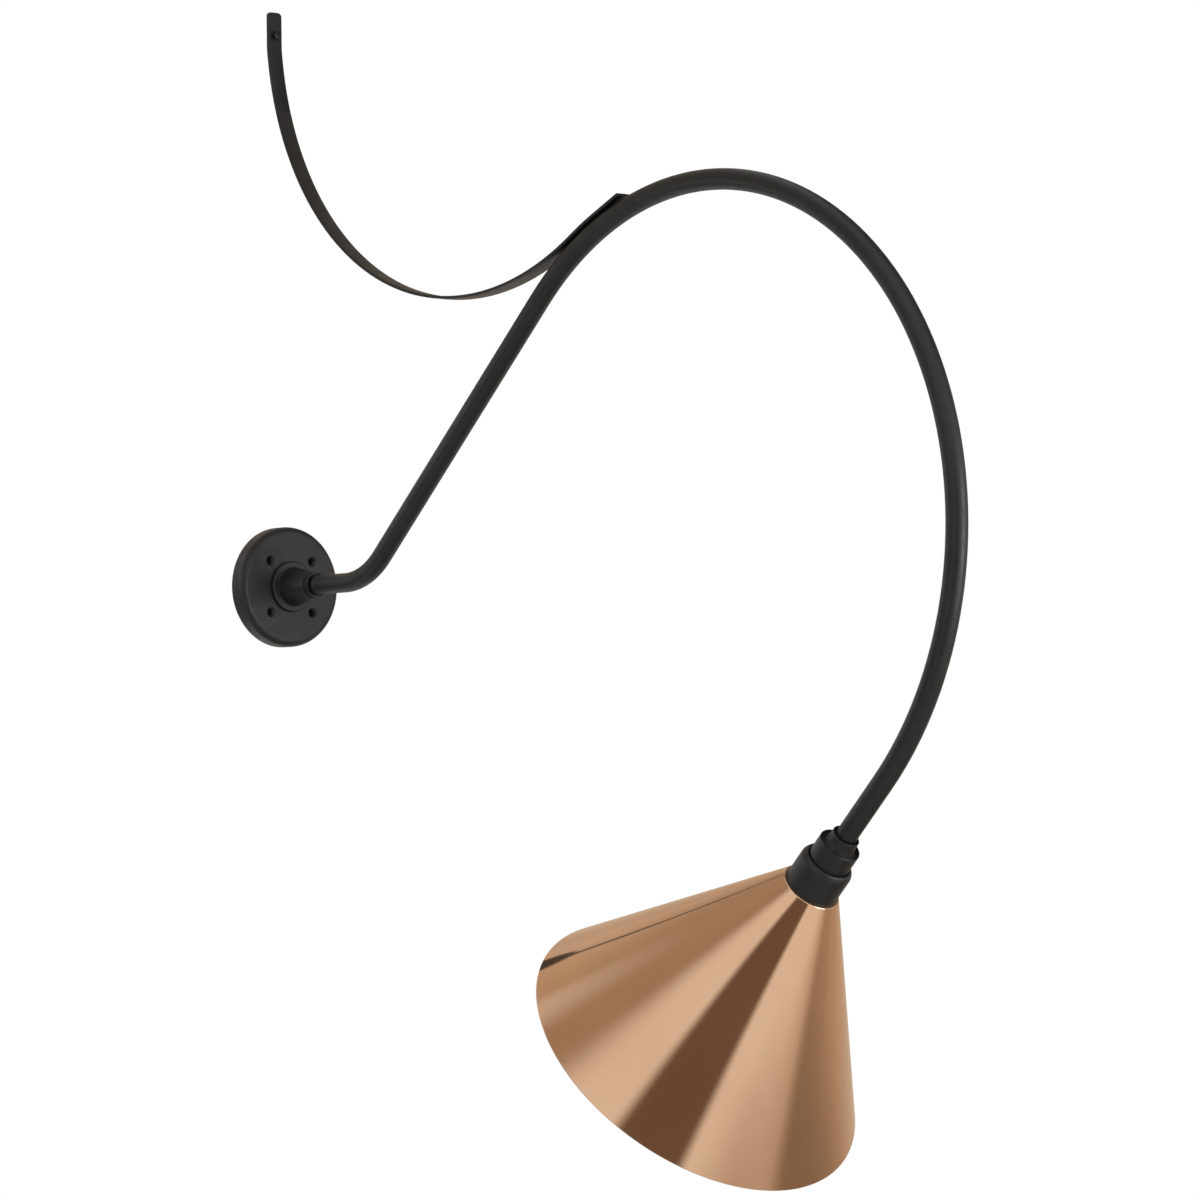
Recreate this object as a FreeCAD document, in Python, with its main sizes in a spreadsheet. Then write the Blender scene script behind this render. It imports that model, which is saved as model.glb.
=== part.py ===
"""A barn light: wall plate, bent tube arm with a strap brace, and a cone shade hung from its end.

Row frame: the wall is the plane Y = 0, the origin is the centre of the wall plate's back face,
-Y points out of the wall and +Z is up. The arm, the brace and the shade's axis lie in X = 0.
"""
import FreeCAD, Part
import math
import os
import Sketcher

# Driving dimensions, in millimetres and degrees
DRIVING = {
    # Gooseneck arm, along its centreline from the wall
    "tube_diameter": 21.3,
    "tube_wall": 2.0,
    "wall_run": 120.0,
    "rise_bend_radius": 95.0,
    "rise_angle": 43.0,
    "rise_run": 370.0,
    "arch_radius": 350.0,
    "arch_angle": 178.0,
    "drop_run": 70.5,
    "socket_depth": 27.5,
    # Wall plate and its gasket
    "plate_diameter": 133.4,
    "plate_depth": 22.0,
    "plate_wall": 6.0,
    "plate_edge_radius": 4.0,
    "gasket_thickness": 1.5,
    "gasket_inset": 1.0,
    "screw_spacing": 57.0,
    "screw_hole_diameter": 6.6,
    "countersink_diameter": 11.5,
    "countersink_depth": 2.5,
    "screw_boss_diameter": 12.0,
    # Arm hub
    "hub_base_diameter": 56.5,
    "hub_base_height": 4.5,
    "hub_base_rounding": 1.8,
    "hub_cone_foot_diameter": 43.0,
    "hub_cone_head_diameter": 29.6,
    "hub_cone_length": 30.5,
    "hub_tail_diameter": 30.0,
    "groove_depth": 1.0,
    "groove_width": 2.3,
    "collar_diameter": 28.0,
    "collar_length": 10.0,
    "collar_lip": 1.7,
    "collar_mouth_depth": 4.0,
    "collar_bevel": 0.5,
    "hub_nut_width": 36.0,
    "nut_thickness": 4.5,
    # Earth point in the plate's recess
    "earth_post_radius": 4.2,
    "earth_post_side": 25.6,
    "earth_screw_radius": 1.9,
    "earth_head_radius": 3.6,
    "earth_head_height": 2.0,
    "earth_screw_grip": 5.0,
    # Leads
    "lead_width": 2.6,
    "earth_wire_diameter": 2.0,
    "lead_spread": 1.35,
    "lead_bend_radius": 4.0,
    "wire_hole_diameter": 12.0,
    "bushing_wall": 1.0,
    "bushing_flange": 1.6,
    "connector_radius": 5.0,
    "connector_nose_radius": 4.1,
    "connector_length": 18.0,
    "connector_skirt_length": 9.5,
    "connector_grip": 8.0,
    "connector_distance": 33.0,
    # Brace strap
    "strap_width": 19.05,
    "strap_thickness": 3.2,
    "strap_radius": 345.0,
    "foot_length": 38.0,
    "foot_bend_radius": 60.0,
    "foot_bend_angle": 6.0,
    "strap_follow": 37.0,
    "strap_tail": 43.0,
    "strap_corner": 4.5,
    "foot_screw_drop": 26.0,
    "foot_screw_diameter": 4.8,
    "foot_head_width": 8.0,
    "foot_head_height": 3.8,
    "foot_washer_diameter": 11.0,
    "foot_washer_thickness": 1.2,
    "tail_screw_diameter": 3.5,
    "tail_head_diameter": 6.6,
    "tail_head_height": 2.2,
    "tail_screw_reach": 3.0,
    # Neck hub
    "neck_diameter": 42.5,
    "neck_side": 24.0,
    "neck_rim": 1.25,
    "neck_valley": 1.5,
    "cove_radius": 5.0,
    "neck_collar_length": 12.5,
    "neck_tail_diameter": 22.0,
    "neck_nut_width": 27.0,
    # Socket cup
    "cup_diameter": 54.0,
    "cup_height": 34.0,
    "cup_wall": 3.0,
    "cup_roof": 4.0,
    "cup_shoulder": 4.4,
    "cup_recess_depth": 4.0,
    "washer_thickness": 1.0,
    "shade_gasket_width": 1.8,
    "ring_post_radius": 3.5,
    "ring_screw_circle": 47.0,
    "ring_screw_radius": 1.5,
    "ring_screw_length": 14.0,
    "ring_head_radius": 2.9,
    "ring_head_height": 1.9,
    # Shade
    "shade_diameter": 355.6,
    "shade_height": 235.0,
    "shade_sheet": 1.2,
    "shade_neck_diameter": 59.0,
    "shade_opening_diameter": 40.0,
    "ring_thickness": 2.5,
    # Lampholder
    "bracket_width": 12.0,
    "bracket_eye_radius": 15.0,
    "bracket_thickness": 1.5,
    "holder_drop": 14.0,
    "holder_diameter": 38.0,
    "holder_length": 38.0,
    "holder_bevel": 1.5,
    "holder_depth": 31.5,
    "shell_wall": 0.45,
    "shell_recess": 1.5,
    "shell_lip": 5.0,
    "leg_length": 22.0,
    "leg_screw_drop": 8.0,
    "leg_screw_radius": 1.5,
    "leg_screw_length": 6.0,
    "leg_head_radius": 2.8,
    "leg_head_height": 1.7,
    "terminal_distance": 11.5,
    "terminal_radius": 1.45,
    "terminal_head_radius": 3.0,
    "terminal_head_height": 1.8,
    "terminal_depth": 5.0,
    "contact_strip": 0.5,
    "contact_width": 5.0,
    "contact_rise": 4.0,
    "contact_foot": 6.0,
    "contact_crown": 2.0,
    # Lamp
    "cap_diameter": 26.0,
    "cap_length": 22.0,
    "cap_wall": 0.5,
    "tip_diameter": 9.4,
    "tip_face_diameter": 6.0,
    "tip_height": 1.4,
    "insulator_height": 2.8,
    "bulb_diameter": 60.0,
    "bulb_length": 108.0,
    "bulb_neck_diameter": 24.4,
    "bulb_neck_length": 4.0,
    "bulb_in_cap": 6.0,
    "glass_wall": 1.0,
    # Set screws
    "grub_diameter": 5.0,
    "grub_length": 6.5,
    # Clearances
    "fit_gap": 0.1,
    "screw_gap": 0.3,
    "lamp_gap": 0.3,
    "recess_gap": 0.75,
    "overrun": 1.0,
}

LEFT = 1
RIGHT = -1
QUARTER_STEPS = 4
GLOBE_STEPS = 8
RING_SCREWS = 3
PLATE_SCREWS = 4
GROUPS = {"wire_connectors": 3, "ring_screws": RING_SCREWS, "lampholder_screws": 2, "terminal_screws": 2}

doc = FreeCAD.newDocument("BarnLight")
V = FreeCAD.Vector


class Size:
    """A number together with the sheet expression that gives it."""

    def __init__(self, value, text):
        self.value = float(value)
        self.text = text

    def __add__(self, other):
        other = sized(other)
        return Size(self.value + other.value, "(%s + %s)" % (self.text, other.text))

    def __sub__(self, other):
        other = sized(other)
        return Size(self.value - other.value, "(%s - %s)" % (self.text, other.text))

    def __mul__(self, other):
        other = sized(other)
        return Size(self.value * other.value, "(%s * %s)" % (self.text, other.text))

    def __truediv__(self, other):
        other = sized(other)
        return Size(self.value / other.value, "(%s / %s)" % (self.text, other.text))

    def __neg__(self):
        return Size(-self.value, "(-1 * %s)" % self.text)

    __rmul__ = __mul__


def sized(number):
    return number if isinstance(number, Size) else Size(number, repr(number))


def sine(angle):
    return Size(math.sin(math.radians(angle.value)), "sin(%s * 1 deg)" % angle.text)


def cosine(angle):
    return Size(math.cos(math.radians(angle.value)), "cos(%s * 1 deg)" % angle.text)


def angle_of_sine(share):
    return Size(math.degrees(math.asin(share.value)), "(asin(%s) / 1 deg)" % share.text)


def root(area):
    return Size(math.sqrt(area.value), "sqrt(%s)" % area.text)


class Driving:
    """The sheet of driving dimensions, read by name."""

    def __init__(self):
        self.sheet = doc.addObject("Spreadsheet::Sheet", "Sizes")
        for row, (alias, value) in enumerate(DRIVING.items(), 1):
            self.sheet.set("A%d" % row, alias.replace("_", " "))
            self.sheet.set("B%d" % row, str(value))
            self.sheet.setAlias("B%d" % row, alias)

    def __getattr__(self, alias):
        return Size(DRIVING[alias], "Sizes." + alias)


class Worked:
    """The sheet of places worked out from the driving dimensions."""

    def __init__(self):
        self.sheet = doc.addObject("Spreadsheet::Sheet", "Places")
        self.count = 0

    def keep(self, alias, size):
        self.count += 1
        self.sheet.set("A%d" % self.count, alias.replace("_", " "))
        self.sheet.set("B%d" % self.count, "=" + size.text)
        self.sheet.setAlias("B%d" % self.count, alias)
        return Size(size.value, "Places." + alias)


d = Driving()
places = Worked()
keep = places.keep
ZERO = Size(0, "0")


# Sketches, bodies and features

def locate(sketch, number, spot, x, y, only=None):
    """Ties one point of a sketch to the sheet, along both axes or along one."""
    for kind, size, axis in (("DistanceX", x, -2), ("DistanceY", y, -1)):
        if only and kind != only:
            continue
        if size.text == ZERO.text:
            sketch.addConstraint(Sketcher.Constraint("PointOnObject", number, spot, axis))
        else:
            tie = Sketcher.Constraint(kind, -1, 1, number, spot, size.value)
            index = sketch.addConstraint(tie)
            sketch.setExpression("Constraints[%d]" % index, size.text)


def outline(body, name, role, steps, closed=True):
    """Draws lines and arcs from corner to corner.

    A step is (x, y), reached by a line, or (x, y, centre, turn), reached by an arc.
    """
    sketch = body.newObject("Sketcher::SketchObject", name)
    plane = [item for item in body.Origin.OriginFeatures if item.Role == role][0]
    sketch.AttachmentSupport = [(plane, "")]
    sketch.MapMode = "FlatFace"
    ends = []
    for here, there in zip(steps, steps[1:] + (steps[:1] if closed else [])):
        start = V(here[0].value, here[1].value, 0)
        end = V(there[0].value, there[1].value, 0)
        if len(there) == 2:
            number = sketch.addGeometry(Part.LineSegment(start, end), False)
            ends.append((number, 1, 2))
            continue
        centre, turn = there[2], there[3]
        middle = V(centre[0].value, centre[1].value, 0)
        circle = Part.Circle(middle, V(0, 0, 1), (start - middle).Length)
        angles = [math.atan2(p.y - middle.y, p.x - middle.x) for p in (start, end)]
        if turn == RIGHT:
            angles.reverse()
        number = sketch.addGeometry(Part.ArcOfCircle(circle, *angles), False)
        ends.append((number, 1, 2) if turn == LEFT else (number, 2, 1))
        locate(sketch, number, 3, *centre)
    for index, (number, first, last) in enumerate(ends):
        step = steps[index]
        only = None
        if len(step) == 4:
            centre = step[2]
            across = abs(step[0].value - centre[0].value)
            along = abs(step[1].value - centre[1].value)
            only = "DistanceX" if along >= across else "DistanceY"
        locate(sketch, number, first, step[0], step[1], only)
        if index + 1 < len(ends):
            following = ends[index + 1]
            joined = Sketcher.Constraint("Coincident", number, last, following[0], following[1])
            sketch.addConstraint(joined)
    number, first, last = ends[-1]
    if closed:
        sketch.addConstraint(Sketcher.Constraint("Coincident", number, last, ends[0][0], ends[0][1]))
    else:
        locate(sketch, number, last, steps[-1][0], steps[-1][1])
    return sketch


def new_body(label, frame):
    """An empty body, placed in one of the frames below."""
    body = doc.addObject("PartDesign::Body", label)
    body.Label = label
    body.AllowCompound = True
    body.Placement = FreeCAD.Placement(V(0, 0, 0), FreeCAD.Rotation(*frame.turn))
    for axis, size in zip("xyz", frame.base):
        if size.text != ZERO.text:
            body.setExpression(".Placement.Base." + axis, size.text)
    if frame.angle:
        body.setExpression(".Placement.Rotation.Angle", frame.angle.text)
    return body


def revolve(body, steps, name="section"):
    """Turns an outline of (radius, station) corners about the body's own Z axis."""
    turned = body.newObject("PartDesign::Revolution", "turned")
    turned.Profile = outline(body, name, "XZ_Plane", steps)
    turned.ReferenceAxis = (turned.Profile[0], ["V_Axis"])
    turned.Angle = 360
    doc.recompute()
    return turned


def block(body, kind, radius, height, x, y, z, turn=None, radius_top=None):
    """Adds or cuts a cylinder or cone that starts at (x, y, z) of the body."""
    item = body.newObject("PartDesign::" + kind, kind.lower())
    if radius_top is None:
        item.setExpression("Radius", radius.text)
    else:
        item.setExpression("Radius1", radius.text)
        item.setExpression("Radius2", radius_top.text)
    item.setExpression("Height", height.text)
    item.Placement = FreeCAD.Placement(V(0, 0, 0), turn or FreeCAD.Rotation())
    for axis, size in zip("xyz", (x, y, z)):
        item.setExpression("Placement.Base." + axis, size.text)
    doc.recompute()
    return item


def ring_of(body, features, count, angle=360):
    """Repeats features about the body's own Z axis."""
    pattern = body.newObject("PartDesign::PolarPattern", "around")
    pattern.Originals = features
    pattern.Axis = ([item for item in body.Origin.OriginFeatures if item.Role == "Z_Axis"][0], [""])
    pattern.Angle = angle
    pattern.Occurrences = count
    body.Tip = pattern
    doc.recompute()
    return pattern


def round_edges(body, base, names, radius):
    item = body.newObject("PartDesign::Fillet", "fillet")
    item.Base = (base, names)
    item.setExpression("Radius", radius.text)
    doc.recompute()
    return item


def rounded(centre, radius, start, end, steps=QUARTER_STEPS):
    """Corners of a fine polygon along a round stretch, from one heading to another in degrees."""
    corners = []
    for step in range(steps + 1):
        heading = sized(start) + (sized(end) - sized(start)) * step / steps
        corners.append((centre[0] + cosine(heading) * radius, centre[1] + sine(heading) * radius))
    return corners


def sweep(body, path, radii=(), width=None, thickness=None):
    """Sweeps a round section, hollow if two radii are given, or a flat one, along a path."""
    section = body.newObject("Sketcher::SketchObject", "section")
    section.AttachmentSupport = [(path, "Edge1")]
    section.MapMode = "NormalToEdge"
    section.MapPathParameter = 0
    for radius in radii:
        number = section.addGeometry(Part.Circle(V(0, 0, 0), V(0, 0, 1), radius.value), False)
        section.addConstraint(Sketcher.Constraint("Coincident", number, 3, -1, 1))
        index = section.addConstraint(Sketcher.Constraint("Radius", number, radius.value))
        section.setExpression("Constraints[%d]" % index, radius.text)
    if width:
        draw_bar(section, width, thickness or width)
    doc.recompute()
    pipe = body.newObject("PartDesign::AdditivePipe", "swept")
    pipe.Profile = section
    pipe.Spine = (path, [])
    doc.recompute()
    return pipe


def draw_bar(section, width, thickness):
    """A rectangle about the path, its wide side square to the arm's plane."""
    doc.recompute()
    across = section.Placement.Rotation.inverted().multVec(V(0, 0, 1))
    sideways = abs(across.x) > abs(across.y)
    half_x = (width if sideways else thickness) / 2
    half_y = (thickness if sideways else width) / 2
    corners = [(-half_x, -half_y), (half_x, -half_y), (half_x, half_y), (-half_x, half_y)]
    for index, corner in enumerate(corners):
        following = corners[(index + 1) % len(corners)]
        ends = [V(p[0].value, p[1].value, 0) for p in (corner, following)]
        section.addGeometry(Part.LineSegment(*ends), False)
    for index, corner in enumerate(corners):
        locate(section, index, 1, *corner)
        section.addConstraint(Sketcher.Constraint("Coincident", index, 2, (index + 1) % len(corners), 1))


TOUCH = 1e-4


class Frame:
    """A place and a turn about X that bodies are seated in."""

    def __init__(self, base, axis, angle, tied=None):
        self.base = base
        self.turn = (axis, angle)
        self.angle = tied


# Frames and the arm's plane, as (outward, upward) coordinates

tube_radius = keep("tube_radius", d.tube_diameter / 2)
heading = keep("end_heading", d.rise_angle - d.arch_angle)
rise_start_up = keep("rise_start_up", d.rise_bend_radius * (Size(1, "1") - cosine(d.rise_angle)))
rise_start_out = keep("rise_start_out", d.wall_run + d.rise_bend_radius * sine(d.rise_angle))
rise_end_out = keep("rise_end_out", rise_start_out + d.rise_run * cosine(d.rise_angle))
rise_end_up = keep("rise_end_up", rise_start_up + d.rise_run * sine(d.rise_angle))
arch_out = keep("arch_centre_out", rise_end_out + d.arch_radius * sine(d.rise_angle))
arch_up = keep("arch_centre_up", rise_end_up - d.arch_radius * cosine(d.rise_angle))
drop_out = keep("drop_start_out", arch_out - d.arch_radius * sine(heading))
drop_up = keep("drop_start_up", arch_up + d.arch_radius * cosine(heading))

WALL = Frame((ZERO, ZERO, ZERO), V(1, 0, 0), 90)
NECK = Frame((ZERO, -drop_out, drop_up), V(1, 0, 0), 90 - heading.value, Size(90, "90") - heading)
# The arm's plane: body X is outward, body Y is up, body Z is -X of the row frame
PLANE = Frame((ZERO, ZERO, ZERO), V(1, -1, -1), 120)


def down_neck(station, aside=ZERO):
    """A point of the arm's plane from its station down the neck and its distance aside."""
    out = drop_out + cosine(heading) * station - sine(heading) * aside
    up = drop_up + sine(heading) * station + cosine(heading) * aside
    return out, up


# Wall plate, gasket and arm hub, in stations out from the wall

plate_radius = keep("plate_radius", d.plate_diameter / 2)
recess_radius = keep("recess_radius", plate_radius - d.plate_wall)
recess_floor = keep("recess_floor", d.plate_depth - d.plate_wall)
hub_tail_radius = keep("hub_tail_radius", d.hub_tail_diameter / 2)
hub_tail_end = keep("hub_tail_end", recess_floor - d.nut_thickness - d.fit_gap * 5)
hub_base_top = keep("hub_base_top", d.plate_depth + d.hub_base_height)
cone_end = keep("hub_cone_end", hub_base_top + d.hub_cone_length)
collar_start = keep("collar_start", cone_end + d.groove_width)
collar_end = keep("collar_end", collar_start + d.collar_length)
collar_radius = keep("collar_radius", d.collar_diameter / 2)
mouth_radius = keep("mouth_radius", collar_radius - d.collar_lip)
arm_start = keep("arm_start", recess_floor - d.fit_gap * 5)
bore_radius = keep("socket_radius", tube_radius + d.fit_gap)
wire_hole_radius = keep("wire_hole_radius", d.wire_hole_diameter / 2)
bushing_end = keep("bushing_end", hub_tail_end - d.bushing_wall)
lead_half = keep("lead_half", d.lead_width / 2)
lead_level = keep("lead_level", bushing_end - d.lead_bend_radius)


def make_wall_gasket():
    body = new_body("wall_gasket", WALL)
    outer = plate_radius - d.gasket_inset
    revolve(body, [(recess_radius, ZERO), (outer, ZERO), (outer, d.gasket_thickness),
                   (recess_radius, d.gasket_thickness)])
    return body


def make_wall_plate():
    """Round casting, hollow behind, with four drilled bosses down to the wall and an earth post."""
    body = new_body("wall_plate", WALL)
    hole = hub_tail_radius + d.fit_gap
    edge = d.plate_edge_radius
    revolve(body, [(hole, recess_floor), (recess_radius, recess_floor), (recess_radius, d.gasket_thickness),
                   (plate_radius, d.gasket_thickness)]
            + rounded((plate_radius - edge, d.plate_depth - edge), edge, 0, 90) + [(hole, d.plate_depth)])
    half = d.screw_spacing / 2
    boss = block(body, "AdditiveCylinder", d.screw_boss_diameter / 2, recess_floor, half, half, ZERO)
    drill = block(body, "SubtractiveCylinder", d.screw_hole_diameter / 2, d.plate_depth + d.overrun * 2,
                  half, half, -d.overrun)
    sink = block(body, "SubtractiveCone", d.screw_hole_diameter / 2, d.countersink_depth,
                 half, half, d.plate_depth - d.countersink_depth, radius_top=d.countersink_diameter / 2)
    ring_of(body, [boss, drill, sink], PLATE_SCREWS)
    post_end = lead_level + d.earth_wire_diameter / 2
    block(body, "AdditiveCylinder", d.earth_post_radius, recess_floor - post_end,
          -d.earth_post_side, ZERO, post_end)
    block(body, "SubtractiveCylinder", d.earth_screw_radius + d.fit_gap, d.earth_screw_grip + d.overrun,
          -d.earth_post_side, ZERO, post_end - d.overrun)
    return body


def make_arm_hub():
    """Base ring, cone, groove and collar, with a tail through the plate and a socket for the arm."""
    body = new_body("arm_hub", WALL)
    base = d.hub_base_diameter / 2
    foot = d.hub_cone_foot_diameter / 2
    head = d.hub_cone_head_diameter / 2
    groove = head - d.groove_depth
    mouth = collar_end - d.collar_mouth_depth
    edge = d.hub_base_rounding
    revolve(body, [(wire_hole_radius, hub_tail_end), (hub_tail_radius, hub_tail_end),
                   (hub_tail_radius, d.plate_depth), (base, d.plate_depth)]
            + rounded((base - edge, hub_base_top - edge), edge, 0, 90)
            + [(foot, hub_base_top), (head, cone_end), (groove, cone_end), (groove, collar_start),
               (collar_radius, collar_start), (collar_radius, collar_end - d.collar_bevel),
               (collar_radius - d.collar_bevel, collar_end), (mouth_radius, collar_end),
               (mouth_radius, mouth), (bore_radius, mouth), (bore_radius, arm_start),
               (wire_hole_radius, arm_start)])
    middle = (hub_base_top + cone_end) / 2
    block(body, "SubtractiveCylinder", d.grub_diameter / 2 + d.fit_gap, foot, ZERO, ZERO, middle, AWAY)
    return body


def make_hub_set_screw():
    body = new_body("hub_set_screw", WALL)
    middle = (hub_base_top + cone_end) / 2
    block(body, "AdditiveCylinder", d.grub_diameter / 2, d.grub_length, bore_radius, ZERO, middle, AWAY)
    return body


def make_nut(label, frame, width, hole, station):
    """A hexagon nut from its width across flats."""
    body = new_body(label, frame)
    prism = body.newObject("PartDesign::AdditivePrism", "hexagon")
    prism.Polygon = 6
    prism.setExpression("Circumradius", (width / root(Size(3, "3"))).text)
    prism.setExpression("Height", d.nut_thickness.text)
    prism.setExpression("Placement.Base.z", station.text)
    block(body, "SubtractiveCylinder", hole, d.nut_thickness + d.overrun * 2,
          ZERO, ZERO, station - d.overrun)
    return body


def make_wire_bushing():
    """Flanged plastic bush that keeps the leads off the hub's edge."""
    body = new_body("wire_bushing", WALL)
    outer = wire_hole_radius - d.fit_gap
    bore = outer - d.bushing_wall
    revolve(body, [(bore, bushing_end), (wire_hole_radius + d.bushing_flange, bushing_end),
                   (wire_hole_radius + d.bushing_flange, hub_tail_end), (outer, hub_tail_end),
                   (outer, arm_start), (bore, arm_start)])
    return body


def make_earth_screw():
    body = new_body("earth_screw", WALL)
    under = lead_level - d.earth_wire_diameter / 2
    block(body, "AdditiveCylinder", d.earth_head_radius, d.earth_head_height,
          -d.earth_post_side, ZERO, under - d.earth_head_height)
    block(body, "AdditiveCylinder", d.earth_screw_radius, d.earth_wire_diameter + d.earth_screw_grip,
          -d.earth_post_side, ZERO, under)
    return body


def make_earth_wire():
    """Bare wire from under the earth screw's head into the third connector."""
    body = new_body("earth_wire", WALL)
    start = d.earth_post_side + d.earth_screw_radius
    end = d.connector_distance + d.connector_grip
    block(body, "AdditiveCylinder", d.earth_wire_diameter / 2, end - start,
          -start, ZERO, lead_level, TOWARD)
    return body


def make_wire_connectors():
    """Three twist-on connectors that lie around the hub in the plate's recess."""
    body = new_body("wire_connectors", WALL)
    up = FreeCAD.Rotation(V(1, 0, 0), -90)
    hollow = d.connector_grip + d.fit_gap
    skirt = block(body, "AdditiveCylinder", d.connector_radius, d.connector_skirt_length,
                  ZERO, d.connector_distance, lead_level, up)
    nose = block(body, "AdditiveCylinder", d.connector_nose_radius, d.connector_length,
                 ZERO, d.connector_distance, lead_level, up)
    across = d.lead_spread + lead_half
    bore = root(across * across + lead_half * lead_half) + d.fit_gap
    hole = block(body, "SubtractiveCylinder", bore, hollow,
                 ZERO, d.connector_distance, lead_level, up)
    ring_of(body, [skirt, nose, hole], 3, 180)
    return body


def lead_path(body, side):
    """From a connector through the hub, the arm and the neck to a terminal."""
    toward = LEFT if side > 0 else RIGHT
    bend = d.lead_bend_radius
    grip = d.connector_distance + d.connector_grip
    level = keep("lead_station_%s" % body.Label, holder_top - lead_half)
    turn_start = down_neck(level - bend)
    turn_end = down_neck(level, bend * side)
    turn_centre = down_neck(level - bend, bend * side)
    finish = down_neck(level, (d.terminal_distance - d.terminal_radius) * side)
    return outline(body, "path", "XY_Plane", [
        (lead_level, grip * side), (lead_level, bend * side),
        (bushing_end, ZERO, (bushing_end, bend * side), toward),
        (d.wall_run, ZERO),
        (rise_start_out, rise_start_up, (d.wall_run, d.rise_bend_radius), LEFT),
        (rise_end_out, rise_end_up),
        (drop_out, drop_up, (arch_out, arch_up), RIGHT),
        turn_start,
        turn_end + (turn_centre, toward),
        finish], closed=False)


def make_lead(label, side):
    """One half of a flat twin lead, squared in section, beside the other across the arm's plane."""
    body = new_body(label, PLANE)
    path = lead_path(body, side)
    path.setExpression(".AttachmentOffset.Base.z", (d.lead_spread * side).text)
    sweep(body, path, width=d.lead_width)
    return body


# Gooseneck arm

def make_gooseneck_arm():
    """One bent tube with a pilot hole for the brace's screw."""
    body = new_body("gooseneck_arm", PLANE)
    path = outline(body, "path", "XY_Plane", [
        (arm_start, ZERO), (d.wall_run, ZERO),
        (rise_start_out, rise_start_up, (d.wall_run, d.rise_bend_radius), LEFT),
        (rise_end_out, rise_end_up),
        (drop_out, drop_up, (arch_out, arch_up), RIGHT),
        down_neck(arm_end)], closed=False)
    sweep(body, path, [tube_radius, tube_radius - d.tube_wall])
    radial_block(body, "SubtractiveCylinder", d.tail_screw_diameter / 2 + d.fit_gap,
                 d.arch_radius, d.tail_screw_diameter + tube_radius)
    return body


# Brace strap: flat foot, short bend, long curve, a stretch that follows the arch, straight tail

strap_half = keep("strap_half", d.strap_thickness / 2)
follow_radius = keep("follow_radius", d.arch_radius + tube_radius + strap_half)
curve_out = keep("strap_centre_out", strap_half + d.foot_bend_radius
                 + cosine(d.foot_bend_angle) * (d.strap_radius - d.foot_bend_radius))
centre_gap = keep("strap_centre_gap", follow_radius + d.strap_radius)
centre_run = keep("strap_centre_run", arch_out - curve_out)
centre_rise = keep("strap_centre_rise", root(centre_gap * centre_gap - centre_run * centre_run))
curve_up = keep("strap_centre_up", arch_up + centre_rise)
foot_low = keep("foot_low", curve_up - sine(d.foot_bend_angle) * (d.strap_radius - d.foot_bend_radius))
foot_high = keep("foot_high", foot_low + d.foot_length)
foot_screw_up = keep("foot_screw_up", foot_high - d.foot_screw_drop)
touch_out = keep("strap_touch_out", arch_out - centre_run * follow_radius / centre_gap)
touch_up = keep("strap_touch_up", arch_up + centre_rise * follow_radius / centre_gap)
follow_degrees = keep("follow_degrees", d.strap_follow / follow_radius * (180 / math.pi))
# The direction from the arch's centre to the brace's screw
screw_cosine = keep("screw_cosine", (sine(follow_degrees) * centre_rise
                                     - cosine(follow_degrees) * centre_run) / centre_gap)
screw_sine = keep("screw_sine", (cosine(follow_degrees) * centre_rise
                                 + sine(follow_degrees) * centre_run) / centre_gap)


def radial_block(body, kind, radius, start, height):
    """A cylinder along the line from the arch's centre through the brace's screw."""
    outwards = FreeCAD.Rotation(V(0, 0, 1), V(screw_cosine.value, screw_sine.value, 0))
    return block(body, kind, radius, height, arch_out + screw_cosine * start,
                 arch_up + screw_sine * start, ZERO, outwards)


def strap_end_edges(shape):
    """The short edges at the strap's two ends, across its thickness."""
    ends = ((strap_half.value, foot_high.value), (tail_out.value, tail_up.value))
    names = []
    for index, edge in enumerate(shape.Edges, 1):
        middle = edge.CenterOfMass
        if abs(edge.Length - d.strap_thickness.value) > TOUCH:
            continue
        if any(math.hypot(middle.x - out, middle.y - up) < TOUCH for out, up in ends):
            names.append("Edge%d" % index)
    return names


tail_out = keep("tail_out", arch_out + screw_cosine * follow_radius + screw_sine * d.strap_tail)
tail_up = keep("tail_up", arch_up + screw_sine * follow_radius - screw_cosine * d.strap_tail)


def make_brace_strap():
    body = new_body("brace_strap", PLANE)
    bend_out = strap_half + d.foot_bend_radius - cosine(d.foot_bend_angle) * d.foot_bend_radius
    bend_up = foot_low - sine(d.foot_bend_angle) * d.foot_bend_radius
    screw_out = arch_out + screw_cosine * follow_radius
    screw_up = arch_up + screw_sine * follow_radius
    path = outline(body, "path", "XY_Plane", [
        (strap_half, foot_high), (strap_half, foot_low),
        (bend_out, bend_up, (strap_half + d.foot_bend_radius, foot_low), LEFT),
        (touch_out, touch_up, (curve_out, curve_up), LEFT),
        (screw_out, screw_up, (arch_out, arch_up), RIGHT),
        (tail_out, tail_up)], closed=False)
    bar = sweep(body, path, width=d.strap_width, thickness=d.strap_thickness)
    round_edges(body, bar, strap_end_edges(bar.Shape), d.strap_corner)
    block(body, "SubtractiveCylinder", d.foot_screw_diameter / 2 + d.fit_gap,
          d.strap_thickness + d.overrun * 2, -d.overrun, foot_screw_up, ZERO,
          FreeCAD.Rotation(V(0, 0, 1), V(1, 0, 0)))
    radial_block(body, "SubtractiveCylinder", d.tail_screw_diameter / 2 + d.fit_gap,
                 follow_radius - d.strap_thickness, d.strap_thickness * 2)
    return body


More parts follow.
